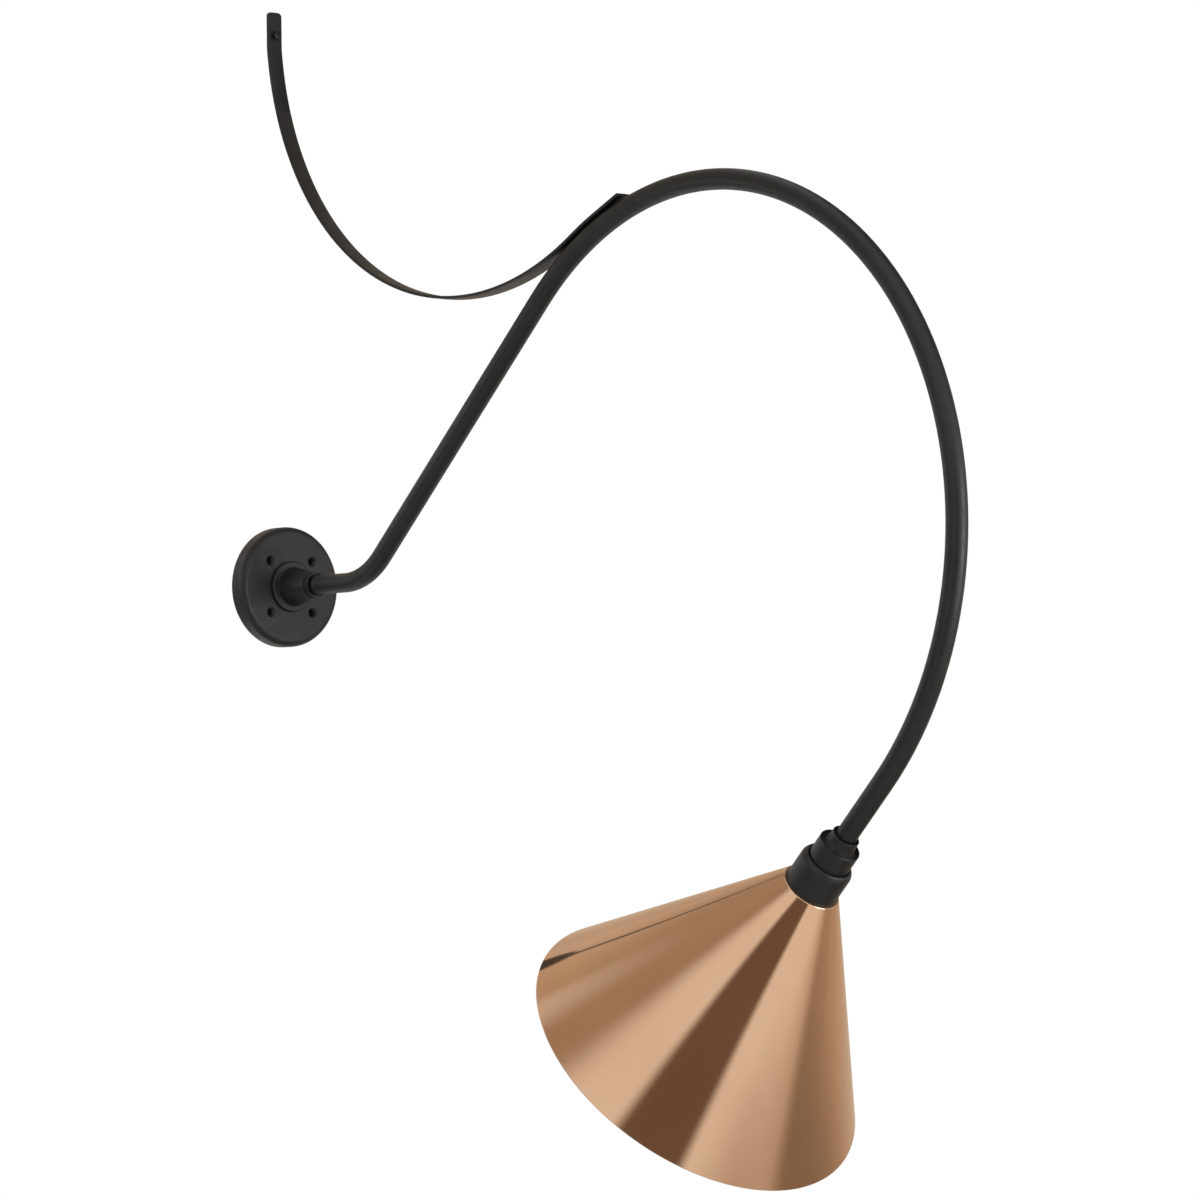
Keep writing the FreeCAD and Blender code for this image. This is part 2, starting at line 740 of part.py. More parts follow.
def make_brace_wall_screw():
    """Hexagon head on a washer; its shank stops at the wall plane."""
    body = new_body("brace_wall_screw", WALL)
    block(body, "AdditiveCylinder", d.foot_screw_diameter / 2, d.strap_thickness,
          ZERO, foot_screw_up, ZERO)
    block(body, "AdditiveCylinder", d.foot_washer_diameter / 2, d.foot_washer_thickness,
          ZERO, foot_screw_up, d.strap_thickness)
    head = body.newObject("PartDesign::AdditivePrism", "head")
    head.Polygon = 6
    head.setExpression("Circumradius", (d.foot_head_width / root(Size(3, "3"))).text)
    head.setExpression("Height", d.foot_head_height.text)
    head.setExpression("Placement.Base.y", foot_screw_up.text)
    head.setExpression("Placement.Base.z", (d.strap_thickness + d.foot_washer_thickness).text)
    doc.recompute()
    return body


def make_brace_arm_screw():
    """Pan head on the strap, its shank through the arm's wall."""
    body = new_body("brace_arm_screw", PLANE)
    head_start = follow_radius + strap_half
    shank_start = d.arch_radius + tube_radius - d.tube_wall - d.tail_screw_reach
    radial_block(body, "AdditiveCylinder", d.tail_screw_diameter / 2, shank_start, head_start - shank_start)
    radial_block(body, "AdditiveCylinder", d.tail_head_diameter / 2, head_start, d.tail_head_height)
    return body


# Neck hub, socket cup and shade, in stations down the neck from the arch's end

AWAY = FreeCAD.Rotation(V(0, 1, 0), 90)
TOWARD = FreeCAD.Rotation(V(0, 1, 0), -90)
neck_top = keep("neck_top", d.drop_run + ZERO)
arm_end = keep("arm_end", neck_top + d.socket_depth)
neck_rim_top = keep("neck_rim_top", neck_top + d.neck_collar_length)
neck_seat = keep("neck_seat", neck_rim_top + d.neck_side)
neck_radius = keep("neck_radius", d.neck_diameter / 2)
neck_tail_radius = keep("neck_tail_radius", d.neck_tail_diameter / 2)
cup_floor = keep("cup_floor", neck_seat + d.washer_thickness)
cup_top = keep("cup_top", cup_floor - d.cup_recess_depth)
cup_ceiling = keep("cup_ceiling", cup_floor + d.cup_roof)
cup_radius = keep("cup_radius", d.cup_diameter / 2)
cup_bore = keep("cup_bore", cup_radius - d.cup_wall)
cup_end = keep("cup_end", cup_top + d.cup_height)
nut_top = keep("nut_top", cup_ceiling + d.bracket_thickness)
neck_tail_end = keep("neck_tail_end", nut_top + d.nut_thickness + d.overrun)
shade_top = keep("shade_top", cup_end + d.washer_thickness)
flange_under = keep("flange_under", shade_top + d.shade_sheet)
ring_under = keep("ring_under", flange_under + d.ring_thickness)
ring_screw_out = keep("ring_screw_out", d.ring_screw_circle / 2)
opening_radius = keep("opening_radius", d.shade_opening_diameter / 2)
holder_top = keep("holder_top", cup_ceiling + d.holder_drop)
holder_mouth = keep("holder_mouth", holder_top + d.holder_length)
holder_floor = keep("holder_floor", holder_mouth - d.holder_depth)
holder_radius = keep("holder_radius", d.holder_diameter / 2)
cap_radius = keep("cap_radius", d.cap_diameter / 2)
shell_radius = keep("shell_radius", cap_radius + d.lamp_gap + d.shell_wall)
tip_start = keep("tip_start", holder_floor + d.contact_rise + d.fit_gap)


def make_neck_hub():
    """Collar round the tube, a cove down to a thin rim, a cylinder and a threaded tail."""
    body = new_body("neck_hub", NECK)
    valley = neck_rim_top + d.neck_valley
    cove_foot = collar_radius + d.cove_radius
    rim_inner = neck_radius - d.neck_rim
    mouth = neck_top + d.collar_mouth_depth
    revolve(body, [(wire_hole_radius, neck_tail_end), (neck_tail_radius, neck_tail_end),
                   (neck_tail_radius, neck_seat), (neck_radius, neck_seat), (neck_radius, neck_rim_top),
                   (rim_inner, neck_rim_top), (rim_inner, valley)]
            + rounded((cove_foot, valley - d.cove_radius), d.cove_radius, 90, 180)
            + [(collar_radius, neck_top + d.collar_bevel), (collar_radius - d.collar_bevel, neck_top),
               (mouth_radius, neck_top), (mouth_radius, mouth),
               (bore_radius, mouth), (bore_radius, arm_end), (wire_hole_radius, arm_end)])
    block(body, "SubtractiveCylinder", d.grub_diameter / 2 + d.fit_gap, neck_radius + d.overrun,
          ZERO, ZERO, neck_grub_station, AWAY)
    return body


neck_grub_station = keep("neck_grub_station", (neck_rim_top + arm_end) / 2)


def make_neck_set_screw():
    body = new_body("neck_set_screw", NECK)
    block(body, "AdditiveCylinder", d.grub_diameter / 2, d.grub_length, bore_radius, ZERO,
          neck_grub_station, AWAY)
    return body


def make_neck_gasket():
    body = new_body("neck_gasket", NECK)
    inner = neck_tail_radius + d.fit_gap
    revolve(body, [(inner, neck_seat), (neck_radius, neck_seat),
                   (neck_radius, cup_floor), (inner, cup_floor)])
    return body


def make_socket_cup():
    """Cup with a rounded shoulder, a recess that seats the neck hub and three screw posts inside."""
    body = new_body("socket_cup", NECK)
    hole = neck_tail_radius + d.fit_gap
    recess = neck_radius + d.recess_gap
    shoulder = d.cup_shoulder
    revolve(body, [(hole, cup_floor), (recess, cup_floor), (recess, cup_top)]
            + rounded((cup_radius - shoulder, cup_top + shoulder), shoulder, -90, 0)
            + [(cup_radius, cup_end), (cup_bore, cup_end), (cup_bore, cup_ceiling), (hole, cup_ceiling)])
    post = block(body, "AdditiveCylinder", d.ring_post_radius, cup_end - cup_ceiling,
                 ZERO, ring_screw_out, cup_ceiling)
    drill = block(body, "SubtractiveCylinder", d.ring_screw_radius + d.fit_gap, d.ring_screw_length,
                  ZERO, ring_screw_out, cup_end - d.ring_screw_length)
    ring_of(body, [post, drill], RING_SCREWS)
    return body


def make_shade_gasket():
    """Rubber ring under the cup's edge, outside the ring's screws."""
    body = new_body("shade_gasket", NECK)
    inner = cup_radius - d.shade_gasket_width
    revolve(body, [(inner, cup_end), (cup_radius, cup_end), (cup_radius, shade_top), (inner, shade_top)])
    return body


def make_shade_ring():
    """Flat ring that clamps the shade's flange, with the three screws' holes."""
    body = new_body("shade_ring", NECK)
    revolve(body, [(opening_radius, flange_under), (cup_radius, flange_under),
                   (cup_radius, ring_under), (opening_radius, ring_under)])
    drill_for_ring_screws(body, flange_under, ring_under)
    return body


def drill_for_ring_screws(body, start, end):
    drill = block(body, "SubtractiveCylinder", d.ring_screw_radius + d.fit_gap,
                  end - start + d.overrun * 2, ZERO, ring_screw_out, start - d.overrun)
    ring_of(body, [drill], RING_SCREWS)


def make_ring_screws():
    body = new_body("ring_screws", NECK)
    length = d.ring_screw_length - d.overrun
    shank = block(body, "AdditiveCylinder", d.ring_screw_radius,
                  ring_under - cup_end + length + d.ring_head_height / 2,
                  ZERO, ring_screw_out, cup_end - length)
    head = block(body, "AdditiveCylinder", d.ring_head_radius, d.ring_head_height,
                 ZERO, ring_screw_out, ring_under)
    ring_of(body, [shank, head], RING_SCREWS)
    return body


def make_shade():
    """Spun cone of one sheet: a flat neck flange and a straight side that ends in a plain edge."""
    body = new_body("shade", NECK)
    neck = d.shade_neck_diameter / 2
    rim = d.shade_diameter / 2
    shade_end = shade_top + d.shade_height
    slope = keep("shade_slope", (rim - neck) / d.shade_height)
    across = keep("shade_sheet_across", d.shade_sheet * root(slope * slope + 1))
    revolve(body, [(opening_radius, flange_under), (opening_radius, shade_top), (neck, shade_top),
                   (rim, shade_end), (rim - across, shade_end),
                   (neck + d.shade_sheet * slope - across, flange_under)])
    drill_for_ring_screws(body, shade_top, flange_under)
    return body


# Lampholder

def make_lampholder_bracket():
    """Bent strip with an eye clamped under the nut and a leg down each side of the lampholder."""
    body = new_body("lampholder_bracket", NECK)
    inside = holder_radius + d.fit_gap
    outside = inside + d.bracket_thickness
    under = cup_ceiling + d.bracket_thickness
    leg_end = cup_ceiling + d.leg_length
    pad = body.newObject("PartDesign::Pad", "strip")
    pad.Profile = outline(body, "section", "XZ_Plane", [
        (-outside, cup_ceiling), (outside, cup_ceiling), (outside, leg_end), (inside, leg_end),
        (inside, under), (-inside, under), (-inside, leg_end), (-outside, leg_end)])
    pad.setExpression("Length", d.bracket_width.text)
    pad.Midplane = True
    doc.recompute()
    block(body, "AdditiveCylinder", d.bracket_eye_radius, d.bracket_thickness, ZERO, ZERO, cup_ceiling)
    block(body, "SubtractiveCylinder", neck_tail_radius + d.fit_gap, d.bracket_thickness + d.overrun * 2,
          ZERO, ZERO, cup_ceiling - d.overrun)
    block(body, "SubtractiveCylinder", d.leg_screw_radius + d.fit_gap, outside * 2 + d.overrun * 2,
          -outside - d.overrun, ZERO, holder_top + d.leg_screw_drop, AWAY)
    return body


def make_lampholder_body():
    """Porcelain cylinder, deep bore, holes for the side screws and the terminals."""
    body = new_body("lampholder_body", NECK)
    bore = shell_radius + d.fit_gap
    bevel = d.holder_bevel
    revolve(body, [(ZERO, holder_top), (holder_radius - bevel, holder_top),
                   (holder_radius, holder_top + bevel), (holder_radius, holder_mouth - bevel),
                   (holder_radius - bevel, holder_mouth),
                   (bore, holder_mouth), (bore, holder_floor), (ZERO, holder_floor)])
    side = block(body, "SubtractiveCylinder", d.leg_screw_radius + d.fit_gap, d.leg_screw_length,
                 holder_radius - d.leg_screw_length + d.overrun, ZERO, holder_top + d.leg_screw_drop, AWAY)
    ring_of(body, [side], 2)
    terminal = block(body, "SubtractiveCylinder", d.terminal_radius + d.fit_gap,
                     d.terminal_depth + d.overrun, ZERO, d.terminal_distance, holder_top - d.overrun)
    ring_of(body, [terminal], 2)
    return body


def make_lampholder_screws():
    body = new_body("lampholder_screws", NECK)
    outside = holder_radius + d.fit_gap + d.bracket_thickness
    station = holder_top + d.leg_screw_drop
    length = d.leg_screw_length + d.bracket_thickness - d.overrun * 2
    for turn, shank_start, head_start in ((AWAY, outside - length, outside),
                                          (TOWARD, length - outside, -outside)):
        block(body, "AdditiveCylinder", d.leg_screw_radius, length, shank_start, ZERO, station, turn)
        block(body, "AdditiveCylinder", d.leg_head_radius, d.leg_head_height,
              head_start, ZERO, station, turn)
    return body


def make_terminal_screws():
    """Two screws whose heads hold the leads on the lampholder's top."""
    body = new_body("terminal_screws", NECK)
    under = holder_top - d.lead_width
    inside_head = d.terminal_head_height / 2
    shank = block(body, "AdditiveCylinder", d.terminal_radius,
                  d.lead_width + d.terminal_depth + inside_head,
                  ZERO, d.terminal_distance, under - inside_head)
    head = block(body, "AdditiveCylinder", d.terminal_head_radius, d.terminal_head_height,
                 ZERO, d.terminal_distance, under - d.terminal_head_height)
    ring_of(body, [shank, head], 2)
    return body


def make_lampholder_shell():
    """Thin screw shell with a lip turned in at its inner end."""
    body = new_body("lampholder_shell", NECK)
    inner = shell_radius - d.shell_wall
    top = holder_mouth - d.shell_recess
    low = holder_floor + d.fit_gap
    revolve(body, [(inner - d.shell_lip, low), (shell_radius, low), (shell_radius, top), (inner, top),
                   (inner, low + d.shell_wall), (inner - d.shell_lip, low + d.shell_wall)])
    return body


def make_centre_contact():
    """Spring tongue on the bore's floor: flat foot, slope and crown."""
    body = new_body("centre_contact", NECK)
    strip = d.contact_strip
    low = holder_floor
    high = holder_floor + d.contact_rise
    pad = body.newObject("PartDesign::Pad", "tongue")
    pad.Profile = outline(body, "section", "XZ_Plane", [
        (-d.contact_foot, low), (d.contact_foot, low), (d.contact_foot, low + strip),
        (-d.contact_foot + strip * 2, low + strip), (-d.contact_crown, high - strip),
        (d.contact_crown, high - strip), (d.contact_crown, high), (-d.contact_crown - strip, high),
        (-d.contact_foot, low + strip)])
    pad.setExpression("Length", d.contact_width.text)
    pad.Midplane = True
    doc.recompute()
    return body


# Lamp

cap_start = keep("cap_start", tip_start + d.tip_height + d.insulator_height)
cap_end = keep("cap_end", cap_start + d.cap_length)
globe_radius = keep("globe_radius", d.bulb_diameter / 2)
globe_station = keep("globe_station", tip_start + d.bulb_length - globe_radius)
bulb_neck_radius = keep("bulb_neck_radius", d.bulb_neck_diameter / 2)


def make_bulb_tip():
    """The lamp's end contact, a low cone."""
    body = new_body("bulb_tip", NECK)
    foot = tip_start + d.tip_height
    revolve(body, [(ZERO, tip_start), (d.tip_face_diameter / 2, tip_start), (d.tip_diameter / 2, foot),
                   (ZERO, foot)])
    return body


def make_bulb_insulator():
    body = new_body("bulb_insulator", NECK)
    edge = d.tip_diameter / 2
    low = tip_start + d.tip_height
    revolve(body, [(ZERO, low), (edge, low), (cap_radius - d.cap_wall * 2, cap_start), (ZERO, cap_start)])
    return body


def make_bulb_cap():
    """Screw cap, a thin cup open towards the glass."""
    body = new_body("bulb_cap", NECK)
    inner = cap_radius - d.cap_wall
    revolve(body, [(ZERO, cap_start), (inner, cap_start), (cap_radius, cap_start + d.cap_wall),
                   (cap_radius, cap_end), (inner, cap_end), (inner, cap_start + d.cap_wall),
                   (ZERO, cap_start + d.cap_wall)])
    return body


def globe_side(radius, neck, neck_end):
    """A ball's round side, from where a cone from the neck's end touches it to the axis."""
    gap = root(neck * neck + (globe_station - neck_end) * (globe_station - neck_end))
    start = angle_of_sine(neck / gap) - angle_of_sine(radius / gap)
    corners = rounded((ZERO, globe_station), radius, start, 90, GLOBE_STEPS)
    return corners[:-1] + [(ZERO, globe_station + radius)]


def make_bulb_globe():
    """Hollow glass: a neck in the cap, and a cone that runs tangent into a ball."""
    body = new_body("bulb_globe", NECK)
    low = cap_end - d.bulb_in_cap
    neck_end = cap_end + d.bulb_neck_length
    inner_neck = bulb_neck_radius - d.glass_wall
    outer = globe_side(globe_radius, bulb_neck_radius, neck_end)
    inner = globe_side(globe_radius - d.glass_wall, inner_neck, neck_end)
    revolve(body, [(inner_neck, low), (bulb_neck_radius, low), (bulb_neck_radius, neck_end)]
            + outer + inner[::-1] + [(inner_neck, neck_end)])
    return body


doc.recompute()
nodes = [
    make_wall_gasket(), make_wall_plate(), make_arm_hub(), make_hub_set_screw(),
    make_nut("hub_lock_nut", WALL, d.hub_nut_width, hub_tail_radius + d.fit_gap,
             recess_floor - d.nut_thickness),
    make_wire_bushing(), make_earth_screw(), make_earth_wire(), make_wire_connectors(),
    make_lead("live_wire", 1), make_lead("neutral_wire", -1),
    make_gooseneck_arm(), make_brace_strap(), make_brace_wall_screw(), make_brace_arm_screw(),
    make_neck_hub(), make_neck_set_screw(), make_neck_gasket(), make_socket_cup(),
    make_nut("neck_lock_nut", NECK, d.neck_nut_width, neck_tail_radius + d.fit_gap, nut_top),
    make_shade_gasket(), make_shade(), make_shade_ring(), make_ring_screws(),
    make_lampholder_bracket(), make_lampholder_body(), make_lampholder_screws(), make_terminal_screws(),
    make_lampholder_shell(), make_centre_contact(),
    make_bulb_tip(), make_bulb_insulator(), make_bulb_cap(), make_bulb_globe(),
]
doc.recompute()


def check(items):
    """Stops on any object that failed and on any sub-part that isn't a sound solid."""
    for item in doc.Objects:
        if "Invalid" in item.State or "Error" in item.State:
            raise RuntimeError("%s of %s failed" % (item.Name, item.Label))
    for item in items:
        shape = item.Shape
        if shape.isNull() or not shape.isValid():
            raise RuntimeError("%s is not a sound shape" % item.Label)
        if len(shape.Solids) != GROUPS.get(item.Label, 1):
            raise RuntimeError("%s has %d solids" % (item.Label, len(shape.Solids)))
        print("%-20s %d solid(s) %12.1f mm3" % (item.Label, len(shape.Solids), shape.Volume))


check(nodes)
os.makedirs("parts", exist_ok=True)
for node in nodes:
    node.Shape.exportStep("parts/%s.step" % node.Label)
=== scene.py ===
"""Looks of the barn light: spun copper shade, powder-coated arm, brace, plate and cup, and the lamp."""
import bmesh
import bpy
import math
from mathutils import Matrix, Vector


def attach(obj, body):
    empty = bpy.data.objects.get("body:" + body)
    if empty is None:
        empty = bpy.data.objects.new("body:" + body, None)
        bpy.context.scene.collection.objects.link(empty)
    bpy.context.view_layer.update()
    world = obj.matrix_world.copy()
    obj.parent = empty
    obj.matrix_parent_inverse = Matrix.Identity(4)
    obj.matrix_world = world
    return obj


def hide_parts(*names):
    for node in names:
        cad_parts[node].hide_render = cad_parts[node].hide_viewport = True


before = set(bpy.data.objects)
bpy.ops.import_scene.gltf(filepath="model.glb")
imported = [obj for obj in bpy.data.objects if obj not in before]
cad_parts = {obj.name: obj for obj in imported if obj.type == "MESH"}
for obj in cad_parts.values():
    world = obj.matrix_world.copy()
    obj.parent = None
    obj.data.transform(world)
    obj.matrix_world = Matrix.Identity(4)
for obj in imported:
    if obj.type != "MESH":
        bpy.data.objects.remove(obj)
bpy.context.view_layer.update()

# Sizes of the arm and of the brace, in millimetres and degrees

MM = 0.001
TUBE_RADIUS = 10.65
TUBE_WALL = 2.0
ARM_START = 15.5
WALL_RUN = 120.0
RISE_BEND_RADIUS = 95.0
RISE_ANGLE = 43.0
RISE_RUN = 370.0
ARCH_RADIUS = 350.0
ARCH_ANGLE = 178.0
DROP_RUN = 70.5
SOCKET_DEPTH = 27.5
STRAP_WIDTH = 19.05
STRAP_THICKNESS = 3.2
STRAP_RADIUS = 345.0
FOOT_CORNER = 4.5
TAIL_CORNER = 1.6
TAIL_HOLE = 1.85
STRAP_EDGE = 0.5
FOOT_LENGTH = 38.0
FOOT_BEND_RADIUS = 60.0
FOOT_BEND_ANGLE = 6.0
FOOT_SCREW_DROP = 26.0
STRAP_FOLLOW = 37.0
STRAP_TAIL = 43.0

# The arm's plane has X outward and Y upward; places are turns about the row's X axis


def polar(length, degrees):
    return Vector((math.cos(math.radians(degrees)), math.sin(math.radians(degrees)))) * length


HEADING = RISE_ANGLE - ARCH_ANGLE
rise_start = Vector((WALL_RUN, RISE_BEND_RADIUS)) + polar(RISE_BEND_RADIUS, RISE_ANGLE - 90)
rise_end = rise_start + polar(RISE_RUN, RISE_ANGLE)
arch_centre = rise_end + polar(ARCH_RADIUS, RISE_ANGLE - 90)
drop_start = arch_centre + polar(ARCH_RADIUS, HEADING + 90)

METRES = Matrix.Scale(MM, 4)
WALL = METRES @ Matrix.Rotation(math.radians(90), 4, "X")
NECK = (METRES @ Matrix.Translation((0, -drop_start.x, drop_start.y))
        @ Matrix.Rotation(math.radians(90 - HEADING), 4, "X"))
PLANE = METRES @ Matrix(((0, 0, -1, 0), (-1, 0, 0, 0), (0, 1, 0, 0), (0, 0, 0, 1)))


# Meshes

# Edges sharper than this stay sharp; arcs turn by so many degrees a step, with a short flat at each end
SHARP_ANGLE = math.radians(32)
ARC_STEP = 8.0
ARC_FLAT = 0.12


def placed(name, data):
    """A new object in the scene."""
    item = bpy.data.objects.new(name, data)
    bpy.context.scene.collection.objects.link(item)
    return item


def plain_mesh(name, points, faces, edges=()):
    mesh = bpy.data.meshes.new(name)
    mesh.from_pydata([tuple(point) for point in points], edges, faces)
    return mesh


def tidy_mesh(mesh):
    """Merges doubled points, turns every face outwards and shades the rounded stretches smooth."""
    shape = bmesh.new()
    shape.from_mesh(mesh)
    bmesh.ops.remove_doubles(shape, verts=shape.verts, dist=1e-5)
    bmesh.ops.recalc_face_normals(shape, faces=shape.faces)
    shape.to_mesh(mesh)
    shape.free()
    mesh.shade_smooth()
    mesh.set_sharp_from_angle(angle=SHARP_ANGLE)
    return mesh


def settle(name, mesh, place, material, node, body="light"):
    """Makes a mesh drawn in millimetres a finished piece at its place on the light.

    Its one material is the given one; Blender adds a number to that material's name where the frame has that
    name.
    """
    mesh.transform(place)
    mesh.materials.clear()
    mesh.materials.append(material)
    piece = placed(name, mesh)
    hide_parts(node)
    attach(piece, body)


def soften(corners):
    """A closed outline from (radius, station, rounding) corners, each rounding drawn as an arc."""
    outline = []
    for index, (radius, station, rounding) in enumerate(corners):
        corner = Vector((radius, station))
        before = Vector(corners[index - 1][:2]) - corner
        after = Vector(corners[(index + 1) % len(corners)][:2]) - corner
        if not rounding:
            outline.append(corner)
            continue
        half = before.angle(after) / 2
        reach = rounding / math.tan(half)
        before.normalize()
        after.normalize()
        centre = corner + (before + after).normalized() * (rounding / math.sin(half))
        first = corner + before * reach - centre
        last = corner + after * reach - centre
        swing = first.angle_signed(last)
        steps = max(2, math.ceil(math.degrees(abs(swing)) / ARC_STEP))
        outline.append(corner + before * (reach + ARC_FLAT))
        for step in range(steps + 1):
            turned = first.copy()
            turned.rotate(Matrix.Rotation(-swing * step / steps, 2))
            outline.append(centre + turned)
        outline.append(corner + after * (reach + ARC_FLAT))
    return outline


def turned(name, corners, segments=128):
    """A closed outline spun about the Z axis; points on the axis become poles."""
    outline = soften(corners)
    points, rings = [], []
    for radius, station in outline:
        count = 1 if radius < 1e-6 else segments
        rings.append(list(range(len(points), len(points) + count)))
        for number in range(count):
            angle = 2 * math.pi * number / segments
            points.append((radius * math.cos(angle), radius * math.sin(angle), station))
    faces = []
    for here, there in zip(rings, rings[1:] + rings[:1]):
        if len(here) == len(there) == 1:
            continue
        for number in range(segments):
            following = (number + 1) % segments
            face = [here[number % len(here)], here[following % len(here)],
                    there[following % len(there)], there[number % len(there)]]
            faces.append(list(dict.fromkeys(face)))
    return tidy_mesh(plain_mesh(name, points, faces))


def walk(start, heading, moves, step=2.0):
    """Points and headings in the arm's plane, along straight runs (length) and bends (radius, degrees)."""
    spots = [(Vector(start), heading)]
    for move in moves:
        spot, heading = spots[-1]
        if len(move) == 1:
            spots.append((spot + polar(move[0], heading), heading))
            continue
        radius, degrees = move
        side = math.copysign(90, degrees)
        centre = spot + polar(radius, heading + side)
        pieces = math.ceil(abs(degrees) / step)
        for number in range(1, pieces + 1):
            turned_by = heading + degrees * number / pieces
            spots.append((centre - polar(radius, turned_by + side), turned_by))
    return spots


def swept(name, spots, sections):
    """Rings of (aside, across) points, one for each spot of a walk, joined and closed at both ends."""
    points = []
    for (spot, heading), section in zip(spots, sections):
        normal = polar(1, heading + 90)
        for aside, across in section:
            place = spot + normal * aside
            points.append((place.x, place.y, across))
    count = len(sections[0])
    faces = [list(range(count)), list(range(len(points) - count, len(points)))]
    for ring in range(len(spots) - 1):
        for number in range(count):
            following = (number + 1) % count
            faces.append([ring * count + number, ring * count + following,
                          (ring + 1) * count + following, (ring + 1) * count + number])
    return tidy_mesh(plain_mesh(name, points, faces))


def baked(mesh, *modifiers):
    """The plain mesh that modifiers, each a kind with its settings, make of a mesh."""
    body = placed("being_made", mesh)
    for kind, settings in modifiers:
        modifier = body.modifiers.new(kind.lower(), kind)
        for setting, value in settings.items():
            if setting.startswith("Socket_"):
                modifier[setting] = value
            else:
                setattr(modifier, setting, value)
    result = bpy.data.meshes.new_from_object(body.evaluated_get(bpy.context.evaluated_depsgraph_get()))
    bpy.data.objects.remove(body)
    bpy.data.meshes.remove(mesh)
    return tidy_mesh(result)


def carved(mesh, cutters, operation="DIFFERENCE"):
    """A mesh after cutters have been taken from it, joined to it or kept in common with it."""
    tools = [placed("cutter", cutter) for cutter in cutters]
    result = baked(mesh, *[("BOOLEAN", {"operation": operation, "solver": "EXACT", "object": tool})
                           for tool in tools])
    for tool in tools:
        cutter = tool.data
        bpy.data.objects.remove(tool)
        bpy.data.meshes.remove(cutter)
    return result


def moved(mesh, x=0.0, y=0.0, z=0.0, turn=None):
    mesh.transform(Matrix.Translation((x, y, z)) @ (turn or Matrix.Identity(4)))
    return mesh


def turn_about(axis, degrees):
    return Matrix.Rotation(math.radians(degrees), 4, axis)


ASIDE = turn_about("Y", 90)
OVER = turn_about("X", 180)


def cylinder(radius, low, high, segments=40):
    """A plain turned cutter or core."""
    return turned("cylinder", [(0, low, 0), (radius, low, 0), (radius, high, 0), (0, high, 0)], segments)


def flat_ring(inner, outer, low, high, roundings, segments):
    """A ring of rectangular section, its corners rounded from the inner low one round."""
    places = ((inner, low), (outer, low), (outer, high), (inner, high))
    return turned("ring", [(*place, rounding) for place, rounding in zip(places, roundings)], segments)


def slab(width, depth, low, high):
    """A plain block about the Z axis, for cutting slots and recesses."""
    x, y = width / 2, depth / 2
    points = [(i, j, k) for k in (low, high) for i, j in ((-x, -y), (x, -y), (x, y), (-x, y))]
    return plain_mesh("slab", points, [(0, 3, 2, 1), (4, 5, 6, 7), (0, 1, 5, 4), (1, 2, 6, 5),
                                       (2, 3, 7, 6), (3, 0, 4, 7)])


# Node trees

def add_node(tree, kind, feeds=None, **settings):
    """Adds a node with its settings, its sockets fed by links or plain values."""
    item = tree.nodes.new(kind)
    for setting, value in settings.items():
        setattr(item, setting, value)
    for socket, feed in (feeds or {}).items():
        if isinstance(feed, bpy.types.NodeSocket):
            tree.links.new(feed, item.inputs[socket])
        else:
            item.inputs[socket].default_value = feed
    return item


def end_in_mix(tree, end, share, first, second):
    """Ends a tree in a mix of two shaders; the share is the second's."""
    mix = add_node(tree, "ShaderNodeMixShader", {"Fac": share, 1: first.outputs[0], 2: second.outputs[0]})
    tree.links.new(mix.outputs[0], tree.nodes[end].inputs["Surface"])


# Geometry Nodes recipes for what repeats, follows a path or is wound

class Recipe:
    """A node tree with named sizes that ends in Realize Instances and Set Material."""

    def __init__(self, name, **sizes):
        self.tree = bpy.data.node_groups.new(name, "GeometryNodeTree")
        self.sockets = {}
        for size, kind in {"Geometry": "Geometry", **sizes, "Material": "Material"}.items():
            socket = self.tree.interface.new_socket(size, in_out="INPUT", socket_type="NodeSocket" + kind)
            self.sockets[size] = socket.identifier
        self.tree.interface.new_socket("Geometry", in_out="OUTPUT", socket_type="NodeSocketGeometry")
        self.given = self.tree.nodes.new("NodeGroupInput").outputs

    def step(self, kind, feeds=None, **settings):
        """Adds a node and gives its first output."""
        return add_node(self.tree, kind, feeds, **settings).outputs[0]

    def reckon(self, operation, *terms):
        return self.step("ShaderNodeMath", dict(enumerate(terms)), operation=operation)

    def close(self, geometry):
        real = self.step("GeometryNodeRealizeInstances", {"Geometry": geometry})
        dressed = self.step("GeometryNodeSetMaterial", {"Geometry": real, "Material": self.given["Material"]})
        add_node(self.tree, "NodeGroupOutput", {"Geometry": dressed})

    def grow(self, mesh, material, **sizes):
        """The plain mesh that the tree makes from a mesh and the given sizes."""
        values = {self.sockets[size]: value for size, value in {**sizes, "Material": material}.items()}
        return baked(mesh, ("NODES", {"node_group": self.tree, **values}))


def repeating():
    """Copies of a piece about the Z axis, pushed out along their own X."""
    recipe = Recipe("repeat_around_axis", Count="Int", Radius="Float", Start="Float", Step="Float")
    points = recipe.step("GeometryNodePoints", {"Count": recipe.given["Count"]})
    turn = recipe.reckon("MULTIPLY_ADD", recipe.step("GeometryNodeInputIndex"), recipe.given["Step"],
                         recipe.given["Start"])
    angles = recipe.step("ShaderNodeCombineXYZ", {"Z": recipe.reckon("RADIANS", turn)})
    copies = recipe.step("GeometryNodeInstanceOnPoints", {
        "Points": points, "Instance": recipe.given["Geometry"],
        "Rotation": recipe.step("FunctionNodeEulerToRotation", {"Euler": angles})})
    out = recipe.step("ShaderNodeCombineXYZ", {"X": recipe.given["Radius"]})
    recipe.close(recipe.step("GeometryNodeTranslateInstances", {
        "Instances": copies, "Translation": out, "Local Space": True}))
    return recipe


